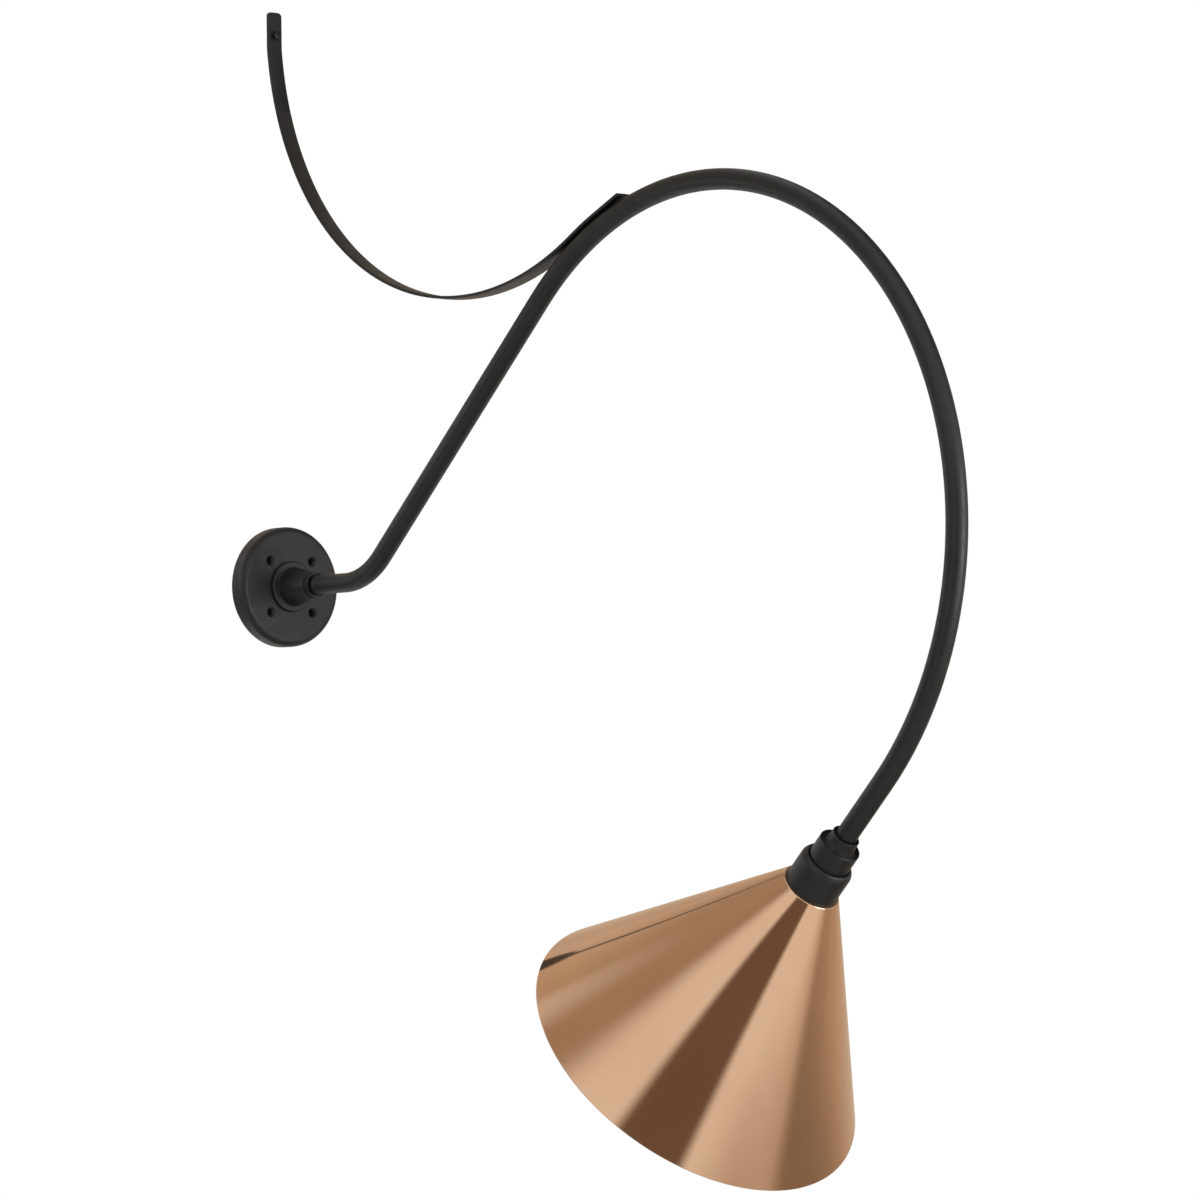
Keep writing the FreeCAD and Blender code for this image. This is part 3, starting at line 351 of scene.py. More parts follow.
def drawing():
    """A round tube or wire drawn along the edges of a path."""
    recipe = Recipe("round_along_path", Radius="Float", Sides="Int", Capped="Bool")
    ring = recipe.step("GeometryNodeCurvePrimitiveCircle", {
        "Resolution": recipe.given["Sides"], "Radius": recipe.given["Radius"]})
    path = recipe.step("GeometryNodeMeshToCurve", {"Mesh": recipe.given["Geometry"]})
    recipe.close(recipe.step("GeometryNodeCurveToMesh", {
        "Curve": path, "Profile Curve": ring, "Fill Caps": recipe.given["Capped"]}))
    return recipe


def winding():
    """An open round wall with a right-hand thread rolled into it, fading out at both ends."""
    recipe = Recipe("rolled_thread", Radius="Float", Depth="Float", Pitch="Float", Low="Float", High="Float",
                    First="Float", Last="Float", Fade="Float", Foot="Float", Head="Float",
                    Around="Int", Along="Int")
    given, reckon = recipe.given, recipe.reckon
    height = reckon("SUBTRACT", given["High"], given["Low"])
    sheet = recipe.step("GeometryNodeMeshGrid", {
        "Size X": 2 * math.pi, "Size Y": height, "Vertices X": given["Around"], "Vertices Y": given["Along"]})
    place = recipe.step("GeometryNodeInputPosition")
    flat = add_node(recipe.tree, "ShaderNodeSeparateXYZ", {0: place}).outputs
    angle = flat["X"]
    station = reckon("ADD", flat["Y"], reckon("MULTIPLY_ADD", height, 0.5, given["Low"]))
    turns = reckon("MULTIPLY", reckon("DIVIDE", station, given["Pitch"]), 2 * math.pi)
    wave = reckon("MULTIPLY_ADD", reckon("COSINE", reckon("SUBTRACT", turns, angle)), -0.5, 0.5)
    rise, fall = [recipe.step("ShaderNodeClamp", {"Value": reckon("DIVIDE", reckon(
        "SUBTRACT", upper, lower), given["Fade"])})
        for upper, lower in ((station, given["First"]), (given["Last"], station))]
    sunk = reckon("MULTIPLY", reckon("MULTIPLY", wave, rise), fall)
    for share, end in ((rise, "Foot"), (fall, "Head")):
        sunk = reckon("MULTIPLY_ADD", reckon("SUBTRACT", 1.0, share), given[end], sunk)
    radius = reckon("SUBTRACT", given["Radius"], reckon("MULTIPLY", sunk, given["Depth"]))
    spot = recipe.step("ShaderNodeCombineXYZ", {
        "X": reckon("MULTIPLY", radius, reckon("COSINE", angle)),
        "Y": reckon("MULTIPLY", radius, reckon("SINE", angle)), "Z": station})
    wound = recipe.step("GeometryNodeSetPosition", {"Geometry": sheet, "Position": spot})
    recipe.close(recipe.step("GeometryNodeMergeByDistance", {"Geometry": wound, "Distance": 0.001}))
    return recipe


AROUND = repeating()
ALONG = drawing()
WOUND = winding()


def threaded(radius, depth, pitch, low, high, first=None, last=None, fade=None, foot=1.0, head=1.0,
             around=32, per_turn=8):
    """An open threaded wall; foot and head say how deep it ends, from 0, the crest, to 1, the root."""
    rows = max(8, round((high - low) / pitch * per_turn)) + 1
    return WOUND.grow(plain_mesh("wall", [], []), zinc, Radius=radius, Depth=depth, Pitch=pitch, Low=low,
                      High=high, First=low if first is None else first, Last=high if last is None else last,
                      Fade=fade or pitch * 0.8, Foot=foot, Head=head, Around=around + 1, Along=rows)


def capped(mesh):
    """Closes the open rims of a mesh with flat faces."""
    shape = bmesh.new()
    shape.from_mesh(mesh)
    bmesh.ops.holes_fill(shape, edges=[edge for edge in shape.edges if edge.is_boundary])
    shape.to_mesh(mesh)
    shape.free()
    return tidy_mesh(mesh)


def path_mesh(spots, across=0.0):
    """The points of a walk as a line of edges in the arm's plane."""
    return plain_mesh("path", [(spot.x, spot.y, across) for spot, heading in spots], [],
                      [(number, number + 1) for number in range(len(spots) - 1)])


# Materials

class Finish:
    """A Principled material, with short calls for the textures that feed it."""

    def __init__(self, name, colour, roughness, **sockets):
        self.material = bpy.data.materials.new(name)
        self.material.use_nodes = True
        self.tree = self.material.node_tree
        self.shader = self.tree.nodes["Principled BSDF"]
        for socket, value in {"Base Color": (*colour, 1), "Roughness": roughness, **sockets}.items():
            self.shader.inputs[socket].default_value = value
        self.place = self.node("ShaderNodeTexCoord").outputs["Object"]

    def node(self, kind, feeds=None, **settings):
        return add_node(self.tree, kind, feeds, **settings)

    def feed(self, socket, output):
        self.tree.links.new(output, self.shader.inputs[socket])

    def noise(self, scale, detail=2.0):
        """Noise of so many waves a metre."""
        return self.node("ShaderNodeTexNoise", {
            "Vector": self.place, "Scale": scale, "Detail": detail}).outputs["Fac"]

    def span(self, pattern, low, high):
        """Noise stretched from its middle range to run from low to high."""
        return self.node("ShaderNodeMapRange", {
            "Value": pattern, "From Min": 0.35, "From Max": 0.65, "To Min": low,
            "To Max": high}).outputs["Result"]

    def colours(self, pattern, first, second):
        """A base colour that wanders between two colours."""
        mix = self.node("ShaderNodeMix", {
            "Factor": self.span(pattern, 0, 1), "A": (*first, 1), "B": (*second, 1)}, data_type="RGBA")
        self.feed("Base Color", mix.outputs["Result"])

    def gloss(self, pattern, low, high):
        """A roughness that wanders between two levels."""
        self.feed("Roughness", self.span(pattern, low, high))

    def bump(self, height, distance, strength):
        """A bump on top of any that the shader already has."""
        feeds = {"Distance": distance, "Strength": strength, "Height": height}
        previous = self.shader.inputs["Normal"].links
        if previous:
            feeds["Normal"] = previous[0].from_socket
        self.feed("Normal", self.node("ShaderNodeBump", feeds).outputs["Normal"])


def black_coat():
    """Satin powder coat: fine orange peel, faint cloudiness in colour and gloss."""
    finish = Finish("black_coat", (0.008, 0.009, 0.010), 0.45, **{"Specular IOR Level": 0.42})
    finish.colours(finish.noise(28, 3), (0.006, 0.0068, 0.0076), (0.0095, 0.0105, 0.0115))
    finish.gloss(finish.noise(90, 3), 0.42, 0.5)
    finish.bump(finish.noise(750), 0.00012, 0.5)
    finish.bump(finish.noise(2600), 0.00004, 0.4)
    return finish.material


def copper_sheet():
    """Spun copper under clear lacquer: fine turning lines round the shade's axis, faint patches."""
    finish = Finish("copper_sheet", (0.68, 0.43, 0.27), 0.08, Metallic=0.92)
    axis = NECK.to_3x3() @ Vector((0, 0, 1 / MM))
    along = finish.node("ShaderNodeVectorMath", {0: finish.place, 1: axis}, operation="DOT_PRODUCT")
    lines = finish.node("ShaderNodeTexNoise", {
        "W": along.outputs["Value"], "Scale": 900, "Detail": 3}, noise_dimensions="1D").outputs["Fac"]
    finish.colours(finish.noise(9, 3), (0.665, 0.415, 0.26), (0.695, 0.445, 0.28))
    finish.gloss(lines, 0.06, 0.1)
    finish.bump(lines, 0.00001, 0.4)
    return finish.material


def shaded(colour, share):
    return [channel * share for channel in colour]


def worked_metal(name, colour, roughness):
    """Plated or bare metal with a faint rolled grain."""
    finish = Finish(name, colour, roughness, Metallic=1.0)
    finish.colours(finish.noise(60, 3), shaded(colour, 0.88), colour)
    finish.gloss(finish.noise(400, 3), roughness * 0.8, roughness * 1.25)
    finish.bump(finish.noise(1200), 0.00002, 0.3)
    return finish.material


def moulded(name, colour, roughness, grain=900, depth=0.00003, darkest=0.85):
    """Plastic, rubber, foam or glaze with a fine skin and a slight change of shade."""
    finish = Finish(name, colour, roughness)
    finish.colours(finish.noise(45, 3), shaded(colour, darkest), colour)
    finish.gloss(finish.noise(grain), roughness * 0.85, roughness * 1.15)
    finish.bump(finish.noise(grain), depth, 0.5)
    return finish.material


coat = black_coat()
copper = copper_sheet()
black_steel = worked_metal("black_steel", (0.05, 0.05, 0.055), 0.38)
zinc = worked_metal("zinc_steel", (0.62, 0.63, 0.64), 0.32)
brass = worked_metal("brass", (0.78, 0.58, 0.27), 0.26)
cap_metal = worked_metal("cap_metal", (0.78, 0.78, 0.79), 0.28)
bare_copper = worked_metal("bare_copper", (0.80, 0.45, 0.28), 0.25)
green_steel = moulded("green_steel", (0.05, 0.30, 0.11), 0.4)
foam = moulded("foam", (0.05, 0.05, 0.05), 0.95, 1400, 0.0004)
rubber = moulded("sealing_rubber", (0.025, 0.025, 0.025), 0.75, 500)
black_plastic = moulded("black_plastic", (0.03, 0.03, 0.03), 0.5)
orange_plastic = moulded("connector_plastic", (0.70, 0.24, 0.03), 0.35)
live_skin = moulded("live_insulation", (0.03, 0.03, 0.03), 0.45)
neutral_skin = moulded("neutral_insulation", (0.76, 0.76, 0.73), 0.45)
porcelain = moulded("porcelain", (0.84, 0.83, 0.79), 0.14, 160, 0.00006, 0.95)
black_glass = moulded("black_glass", (0.02, 0.02, 0.02), 0.15)
frosted_glass = moulded("frosted_glass", (0.88, 0.88, 0.86), 0.42, 2200, 0.00002, 0.97)


# Fasteners, each drawn about the Z axis with its head's underside at nought and its shank below

OVERRUN = 1.0
OVERLAP = 0.5
FIT_GAP = 0.1
BLADE = 0.3
NUT_HEIGHT = 4.5
NUT_SINK = 0.7
CORNER_SLOPE = 0.58
CORNER_CLEAR = 0.2
SHANK_ROOT = 0.3
PLAIN_SHANK = 0.6
GRUB_RADIUS = 2.5
GRUB_LENGTH = 6.5
GRUB_HOLE = 2.6


def driven(mesh, kind, reach, high, depth):
    """Sinks a cross, a slot or a hexagon for the driver into a head that ends at a height."""
    low, above, blade = high - depth, high + OVERRUN, reach * BLADE
    if kind == "hexagon":
        cutters = [turned("hexagon", [(0, low - blade, 0), (reach, low, 0), (reach, above, 0),
                                      (0, above, 0)], 6)]
    elif kind == "slot":
        cutters = [slab(reach * 2.4, blade, low, above)]
    else:
        cutters = [slab(reach * 1.15, blade, low, above), slab(blade, reach * 1.15, low, above)]
    return carved(mesh, cutters)


def rod(radius, length, pitch):
    """A threaded shank from a full-width neck down to its end."""
    return capped(threaded(radius, pitch * 0.5, pitch, -length, SHANK_ROOT, last=-PLAIN_SHANK, head=0.0,
                           fade=pitch * 0.6, around=20, per_turn=4))


def pan_head_screw(radius, height, shank, length, pitch, kind="cross"):
    head = turned("head", [(0, 0, 0), (radius, 0, 0.12), (radius, height, height * 0.62), (0, height, 0)], 48)
    head = driven(head, kind, radius * 1.05, height, height * 0.6)
    return carved(head, [rod(shank, length, pitch)], "UNION")


def grub_screw():
    """A headless screw along Z, from its point at nought to its socketed end."""
    body = capped(threaded(GRUB_RADIUS, 0.35, 0.8, 0.0, GRUB_LENGTH, around=24, per_turn=5))
    return driven(body, "hexagon", 1.45, GRUB_LENGTH, 2.6)


def hexagon_nut(width, hole, low):
    """A nut with turned-off corners and a countersunk hole."""
    corner = width / math.sqrt(3)
    high, slope = low + NUT_HEIGHT, (corner - width / 2) * CORNER_SLOPE
    flat, clear = width / 2 - 0.3, corner + CORNER_CLEAR
    ends = turned("ends", [(0, low, 0), (flat, low, 0), (clear, low + slope, 0),
                           (clear, high - slope, 0), (flat, high, 0), (0, high, 0)], 72)
    sink, wide = NUT_SINK, hole + NUT_SINK * 2
    bore = turned("bore", [(0, low - sink, 0), (wide, low - sink, 0), (hole, low + sink, 0),
                           (hole, high - sink, 0), (wide, high + sink, 0), (0, high + sink, 0)], 72)
    return carved(carved(cylinder(corner, low, high, 6), [ends], "INTERSECT"), [bore])


# Wall end: stations run out from the wall, in millimetres

PLATE_RADIUS = 66.7
PLATE_DEPTH = 22.0
PLATE_EDGE = 7.0
RECESS_RADIUS = 60.7
RECESS_FLOOR = 16.0
GASKET = 1.5
GASKET_RADIUS = 65.7
HUB_HOLE = 15.1
SCREW_HOLE = 3.3
SCREW_CIRCLE = 28.5 * math.sqrt(2)
SINK_RADIUS = 5.75
SINK_DEPTH = 2.5
BOSS = 6.0
POST = 4.2
LEAD_LEVEL = 6.0
LEAD_HALF = 1.3
LEAD_CORE = 0.95
BARE_INSIDE = 1.0
BARE_LENGTH = 4.3
LEAD_SPREAD = 1.35
LEAD_BEND = 4.0
CONNECTOR_START = 33.0
CONNECTOR_GRIP = 8.0
EARTH_SIDE = 25.6
EARTH_HOLE = 2.0
WIRE_HOLE = 6.0
SOCKET_BORE = 10.75
SOCKET_MOUTH = 12.3
HUB_BASE = 28.25
HUB_FRONT = 69.3
HUB_GRUB_STATION = 41.75


def wall_gasket():
    mesh = flat_ring(RECESS_RADIUS, GASKET_RADIUS, 0, GASKET, [0.3] * 4, 160)
    settle("foam_ring", mesh, WALL, foam, "wall_gasket")


def at_wall_screws(mesh):
    """Four of a piece, one at each wall screw."""
    return AROUND.grow(mesh, coat, Count=4, Radius=SCREW_CIRCLE, Start=45.0, Step=90.0)


def wall_plate():
    """The casting with four drilled bosses behind and the post of the earth screw."""
    mesh = turned("wall_plate", [
        (HUB_HOLE, RECESS_FLOOR, 0.3), (RECESS_RADIUS, RECESS_FLOOR, 2.5), (RECESS_RADIUS, GASKET, 0.4),
        (PLATE_RADIUS, GASKET, 0.5), (PLATE_RADIUS, PLATE_DEPTH, PLATE_EDGE),
        (HUB_HOLE, PLATE_DEPTH, 0.3)], 192)
    root = RECESS_FLOOR + OVERLAP
    boss = turned("boss", [(0, 0, 0), (BOSS, 0, 0.4), (BOSS, root, 0), (0, root, 0)], 48)
    post = moved(cylinder(POST, LEAD_LEVEL + 1, root), -EARTH_SIDE)
    mesh = carved(mesh, [at_wall_screws(boss), post], "UNION")
    flare, above = (SINK_RADIUS - SCREW_HOLE) / SINK_DEPTH, PLATE_DEPTH + OVERRUN
    drill = turned("drill", [(0, -OVERRUN, 0), (SCREW_HOLE, -OVERRUN, 0),
                             (SCREW_HOLE, PLATE_DEPTH - SINK_DEPTH, 0),
                             (SINK_RADIUS + flare * OVERRUN, above, 0), (0, above, 0)], 48)
    earth_hole = moved(cylinder(EARTH_HOLE, LEAD_LEVEL, LEAD_LEVEL + 6), -EARTH_SIDE)
    mesh = carved(mesh, [at_wall_screws(drill), earth_hole])
    settle("wall_plate_casting", mesh, WALL, coat, "wall_plate")


def drilled_hub(mesh, station):
    """A hub with the hole of its grub screw, and the screw."""
    hole = moved(cylinder(GRUB_HOLE, 0, 25), z=station, turn=ASIDE)
    return carved(mesh, [hole]), moved(grub_screw(), SOCKET_BORE, z=station, turn=ASIDE)


def arm_hub():
    mesh = turned("arm_hub", [
        (WIRE_HOLE, 11.0, 0.3), (15.0, 11.0, 0.6), (15.0, PLATE_DEPTH, 0), (HUB_BASE, PLATE_DEPTH, 0.3),
        (HUB_BASE, 26.5, 1.8), (21.5, 26.5, 0.7), (14.7, 62.0, 0.6), (13.5, 62.0, 0.25),
        (13.5, 63.6, 0.25), (14.2, 63.6, 0.25), (14.2, HUB_FRONT, 0.7), (SOCKET_MOUTH, HUB_FRONT, 0.4),
        (SOCKET_MOUTH, 66.8, 0.3), (SOCKET_BORE, 66.8, 0.2), (SOCKET_BORE, ARM_START, 0.2),
        (WIRE_HOLE, ARM_START, 0)])
    mesh, screw = drilled_hub(mesh, HUB_GRUB_STATION)
    settle("arm_hub_casting", mesh, WALL, coat, "arm_hub")
    settle("hub_grub_screw", screw, WALL, black_steel, "hub_set_screw")
    settle("hub_nut", hexagon_nut(36.0, HUB_HOLE, 11.5), WALL, zinc, "hub_lock_nut")


def wire_bushing():
    mesh = turned("wire_bushing", [
        (4.9, 10.0, 0.4), (7.6, 10.0, 0.35), (7.6, 11.0, 0.15), (5.9, 11.0, 0), (5.9, ARM_START, 0.3),
        (4.9, ARM_START, 0.3)], 64)
    settle("bushing", mesh, WALL, black_plastic, "wire_bushing")


def earth_point():
    """Green screw and the bare wire hooked round its shank, on into a connector."""
    screw = moved(pan_head_screw(3.6, 2.0, 1.9, 7.0, 0.8), -EARTH_SIDE, z=5.0, turn=OVER)
    settle("green_screw", screw, WALL, green_steel, "earth_screw")
    loop = 2.9
    start = Vector((EARTH_SIDE, 0)) + polar(loop, 60)
    spots = walk(start, 150, [(loop, 270), (loop, -60)], 8.0)
    end = spots[-1][0]
    spots += walk(end, 0, [(CONNECTOR_START + CONNECTOR_GRIP - end.x,)])[1:]
    wire = ALONG.grow(path_mesh(spots), bare_copper, Radius=1.0, Sides=16, Capped=True)
    wire.transform(Matrix(((-1, 0, 0, 0), (0, 1, 0, 0), (0, 0, 1, LEAD_LEVEL), (0, 0, 0, 1))))
    tidy_mesh(wire)
    settle("earth_hook", wire, WALL, bare_copper, "earth_wire")


def wire_connectors():
    """Ribbed twist-on caps, laid along three spokes of the recess."""
    cap = turned("cap", [
        (3.1, 0, 0.2), (5.0, 0, 0.4), (5.0, 8.8, 0.9), (4.0, 10.4, 0.5), (3.5, 18.0, 1.4), (0, 18.0, 0),
        (0, 8.1, 0), (3.1, 8.1, 0.2)], 48)
    rib = carved(slab(1.6, 0.8, 8.0, 17.0), [moved(slab(2.0, 2.0, -1, 12), 1.8, 0, 8.6, turn_about("Y", -9))])
    ribs = AROUND.grow(rib, orange_plastic, Count=10, Radius=3.8, Start=0.0, Step=36.0)
    one = moved(carved(cap, [ribs], "UNION"), z=LEAD_LEVEL, turn=ASIDE)
    three = AROUND.grow(one, orange_plastic, Count=3, Radius=CONNECTOR_START, Start=90.0, Step=90.0)
    settle("twist_caps", three, WALL, orange_plastic, "wire_connectors")


# Arm, leads and brace, in the arm's plane

ARM_BENDS = [(RISE_BEND_RADIUS, RISE_ANGLE), (RISE_RUN,), (ARCH_RADIUS, -ARCH_ANGLE)]


def radial(mesh, start):
    """Stands a piece drawn along Z on the line from the arch's centre through the brace's screw."""
    turn = turn_about("Z", SCREW_HEADING) @ ASIDE
    out = arch_centre + polar(start, SCREW_HEADING)
    return moved(mesh, out.x, out.y, 0, turn)


def gooseneck_arm():
    """The bent tube, with the pilot hole of the brace's screw."""
    spots = walk((ARM_START, 0), 0, [(WALL_RUN - ARM_START,)] + ARM_BENDS + [(DROP_RUN + SOCKET_DEPTH,)])
    skin = ALONG.grow(path_mesh(spots), coat, Radius=TUBE_RADIUS, Sides=56, Capped=False)
    mesh = baked(skin, ("SOLIDIFY", {"thickness": TUBE_WALL, "offset": -1.0}))
    mesh = carved(mesh, [radial(cylinder(TAIL_HOLE, 0, 14), ARCH_RADIUS)])
    settle("arm_tube", mesh, PLANE, coat, "gooseneck_arm")


def leads():
    """Two round insulated leads from the connectors through the arm to the terminals, with bare ends."""
    grip, level = CONNECTOR_START + CONNECTOR_GRIP, HOLDER_TOP - LEAD_HALF
    for name, side, material in (("live", 1, live_skin), ("neutral", -1, neutral_skin)):
        spots = walk((LEAD_LEVEL, grip * side), -90 * side, [
            (grip - LEAD_BEND,), (LEAD_BEND, 90 * side), (WALL_RUN - LEAD_LEVEL - LEAD_BEND,)] + ARM_BENDS
            + [(level - LEAD_BEND,), (LEAD_BEND, 90 * side), (1.6,)], 4.0)
        end, heading = spots[-1]
        bare = walk(end - polar(BARE_INSIDE, heading), heading, [(BARE_INSIDE + BARE_LENGTH,)])
        skin = ALONG.grow(path_mesh(spots, LEAD_SPREAD * side), material,
                          Radius=LEAD_HALF, Sides=14, Capped=True)
        settle(name + "_lead", skin, PLANE, material, name + "_wire")
        core = ALONG.grow(path_mesh(bare, LEAD_SPREAD * side), bare_copper,
                          Radius=LEAD_CORE, Sides=12, Capped=True)
        settle(name + "_bare_end", core, PLANE, bare_copper, name + "_wire")


strap_half = STRAP_THICKNESS / 2
follow_radius = ARCH_RADIUS + TUBE_RADIUS + strap_half
radius_gain = STRAP_RADIUS - FOOT_BEND_RADIUS
curve_out = strap_half + FOOT_BEND_RADIUS + math.cos(math.radians(FOOT_BEND_ANGLE)) * radius_gain
centre_run = arch_centre.x - curve_out
centre_rise = math.sqrt((follow_radius + STRAP_RADIUS) ** 2 - centre_run ** 2)
curve_up = arch_centre.y + centre_rise
foot_low = curve_up - math.sin(math.radians(FOOT_BEND_ANGLE)) * radius_gain
foot_high = foot_low + FOOT_LENGTH
curve_sweep = 180 - FOOT_BEND_ANGLE - math.degrees(math.atan2(centre_rise, centre_run))
follow_sweep = math.degrees(STRAP_FOLLOW / follow_radius)
SCREW_HEADING = 180 - math.degrees(math.atan2(centre_rise, centre_run)) - follow_sweep
FOOT_SCREW_UP = foot_high - FOOT_SCREW_DROP


def bar_section(half_width):
    """A flat bar's section with rounded edges, as (aside, across) points."""
    corners = [(strap_half, half_width), (-strap_half, half_width),
               (-strap_half, -half_width), (strap_half, -half_width)]
    section = []
    for number, (aside, across) in enumerate(corners):
        for step in range(4):
            edge = polar(STRAP_EDGE, 90 * number + 30 * step)
            section.append((aside - math.copysign(STRAP_EDGE, aside) + edge.x,
                            across - math.copysign(STRAP_EDGE, across) + edge.y))
    return section


def corner_steps(corner, steps=8):
    """Runs along a bar's rounded corner from its end, and how far the bar stands in at each."""
    edge = [polar(corner, 90 * step / steps) for step in range(steps + 1)]
    return [(here.x - there.x,) for here, there in zip(edge, edge[1:])], [corner - spot.y for spot in edge]


def brace_strap():
    """The flat bar with its rounded ends and its two holes."""
    foot_runs, foot_insets = corner_steps(FOOT_CORNER)
    tail_runs, tail_insets = corner_steps(TAIL_CORNER)
    moves = foot_runs + [(FOOT_LENGTH - FOOT_CORNER,), (FOOT_BEND_RADIUS, FOOT_BEND_ANGLE),
                         (STRAP_RADIUS, curve_sweep), (follow_radius, -follow_sweep),
                         (STRAP_TAIL - TAIL_CORNER,)] + tail_runs[::-1]
    spots = walk((strap_half, foot_high), -90, moves)
    plain = len(spots) - len(foot_insets) - len(tail_insets)
    insets = foot_insets + [0.0] * plain + tail_insets[::-1]
    mesh = swept("brace_strap", spots, [bar_section(STRAP_WIDTH / 2 - inset) for inset in insets])
    foot_hole = moved(cylinder(2.5, -1, 5), 0, FOOT_SCREW_UP, 0, ASIDE)
    tail_hole = radial(cylinder(TAIL_HOLE, -4, 4), follow_radius)
    mesh = carved(mesh, [foot_hole, tail_hole])
    settle("brace_bar", mesh, PLANE, coat, "brace_strap")


def brace_screws():
    """A hexagon head on a washer at the wall, a small pan head on the arm."""
    washer, head = STRAP_THICKNESS + 1.2, STRAP_THICKNESS + 5.0
    corner = 8.0 / math.sqrt(3)
    clear = corner + CORNER_CLEAR
    dome = turned("dome", [(0, washer, 0), (clear, washer, 0), (clear, head - 0.5, 0), (3.7, head, 0),
                           (0, head, 0)], 48)
    hexagon = carved(cylinder(corner, washer, head, 6), [dome], "INTERSECT")
    flange = turned("flange", [(0, STRAP_THICKNESS, 0), (5.5, STRAP_THICKNESS, 0.15), (5.5, washer, 0.4),
                               (0, washer, 0)], 48)
    shank = cylinder(2.4, 0, STRAP_THICKNESS + SHANK_ROOT)
    mesh = moved(carved(hexagon, [flange, shank], "UNION"), 0, FOOT_SCREW_UP)
    settle("foot_screw", mesh, WALL, black_steel, "brace_wall_screw")
    tail = radial(pan_head_screw(3.3, 2.2, 1.75, 8.2, 0.7), follow_radius + strap_half)
    settle("tail_screw", tail, PLANE, black_steel, "brace_arm_screw")


# Neck, cup and shade, in stations down the neck from the arch's end, in millimetres

NECK_TOP = DROP_RUN
NECK_SEAT = 107.0
NECK_RADIUS = 21.25
NECK_HOLE = 11.1
NECK_GRUB_STATION = 90.5
CUP_TOP = 104.0
CUP_FLOOR = 108.0
CUP_CEILING = 112.0
CUP_END = 138.0
CUP_RADIUS = 27.0
CUP_BORE = 24.0
CUP_BOSS = 3.5
STRIP_UNDER = 113.5
SHADE_TOP = 139.0
SHEET = 1.2
SHADE_NECK = 29.5
SHADE_RIM = 177.8
SHADE_HEIGHT = 235.0
OPENING = 20.0
RING_UNDER = 142.7
RING_CIRCLE = 23.5
RING_HOLE = 1.6
SEAL_BORE = 25.2
RUBBER_EDGES = (0.2, 0.3, 0.3, 0.2)


def neck_hub():
    mesh = turned("neck_hub", [
        (WIRE_HOLE, 119.0, 0.3), (11.0, 119.0, 0.6), (11.0, NECK_SEAT, 0), (NECK_RADIUS, NECK_SEAT, 0.5),
        (NECK_RADIUS, 83.0, 0.4), (20.3, 83.0, 0.2), (20.3, 86.3, 0.25), (17.4, 86.3, 3.4),
        (14.0, 79.3, 15.0), (14.0, NECK_TOP, 0.6), (SOCKET_MOUTH, NECK_TOP, 0.4),
        (SOCKET_MOUTH, 74.5, 0.3), (SOCKET_BORE, 74.5, 0.2), (SOCKET_BORE, NECK_TOP + SOCKET_DEPTH, 0.2),
        (WIRE_HOLE, NECK_TOP + SOCKET_DEPTH, 0)])
    mesh, screw = drilled_hub(mesh, NECK_GRUB_STATION)
    settle("neck_casting", mesh, NECK, coat, "neck_hub")
    settle("neck_grub_screw", screw, NECK, black_steel, "neck_set_screw")
    settle("neck_nut", hexagon_nut(27.0, NECK_HOLE, STRIP_UNDER), NECK, zinc, "neck_lock_nut")
    washer = flat_ring(NECK_HOLE, NECK_RADIUS, NECK_SEAT, CUP_FLOOR, RUBBER_EDGES, 96)
    settle("neck_washer", washer, NECK, rubber, "neck_gasket")


def thirds(mesh):
    """Three of a piece on the circle of the ring's screws."""
    return AROUND.grow(mesh, zinc, Count=3, Radius=RING_CIRCLE, Start=90.0, Step=120.0)


def socket_cup():
    mesh = turned("socket_cup", [
        (NECK_HOLE, CUP_FLOOR, 0.2), (22.0, CUP_FLOOR, 0.2), (22.0, CUP_TOP, 0.15), (24.1, CUP_TOP, 3.1),
        (CUP_RADIUS, CUP_TOP + 4.7, 8.6), (CUP_RADIUS, CUP_END, 0.4), (CUP_BORE, CUP_END, 0.4),
        (CUP_BORE, CUP_CEILING, 1.5), (NECK_HOLE, CUP_CEILING, 0.2)])
    mesh = carved(mesh, [thirds(cylinder(CUP_BOSS, CUP_CEILING - OVERLAP, CUP_END - 0.02))], "UNION")
    mesh = carved(mesh, [thirds(cylinder(RING_HOLE, CUP_END - 14, CUP_END + OVERRUN, 24))])
    settle("cup_casting", mesh, NECK, coat, "socket_cup")


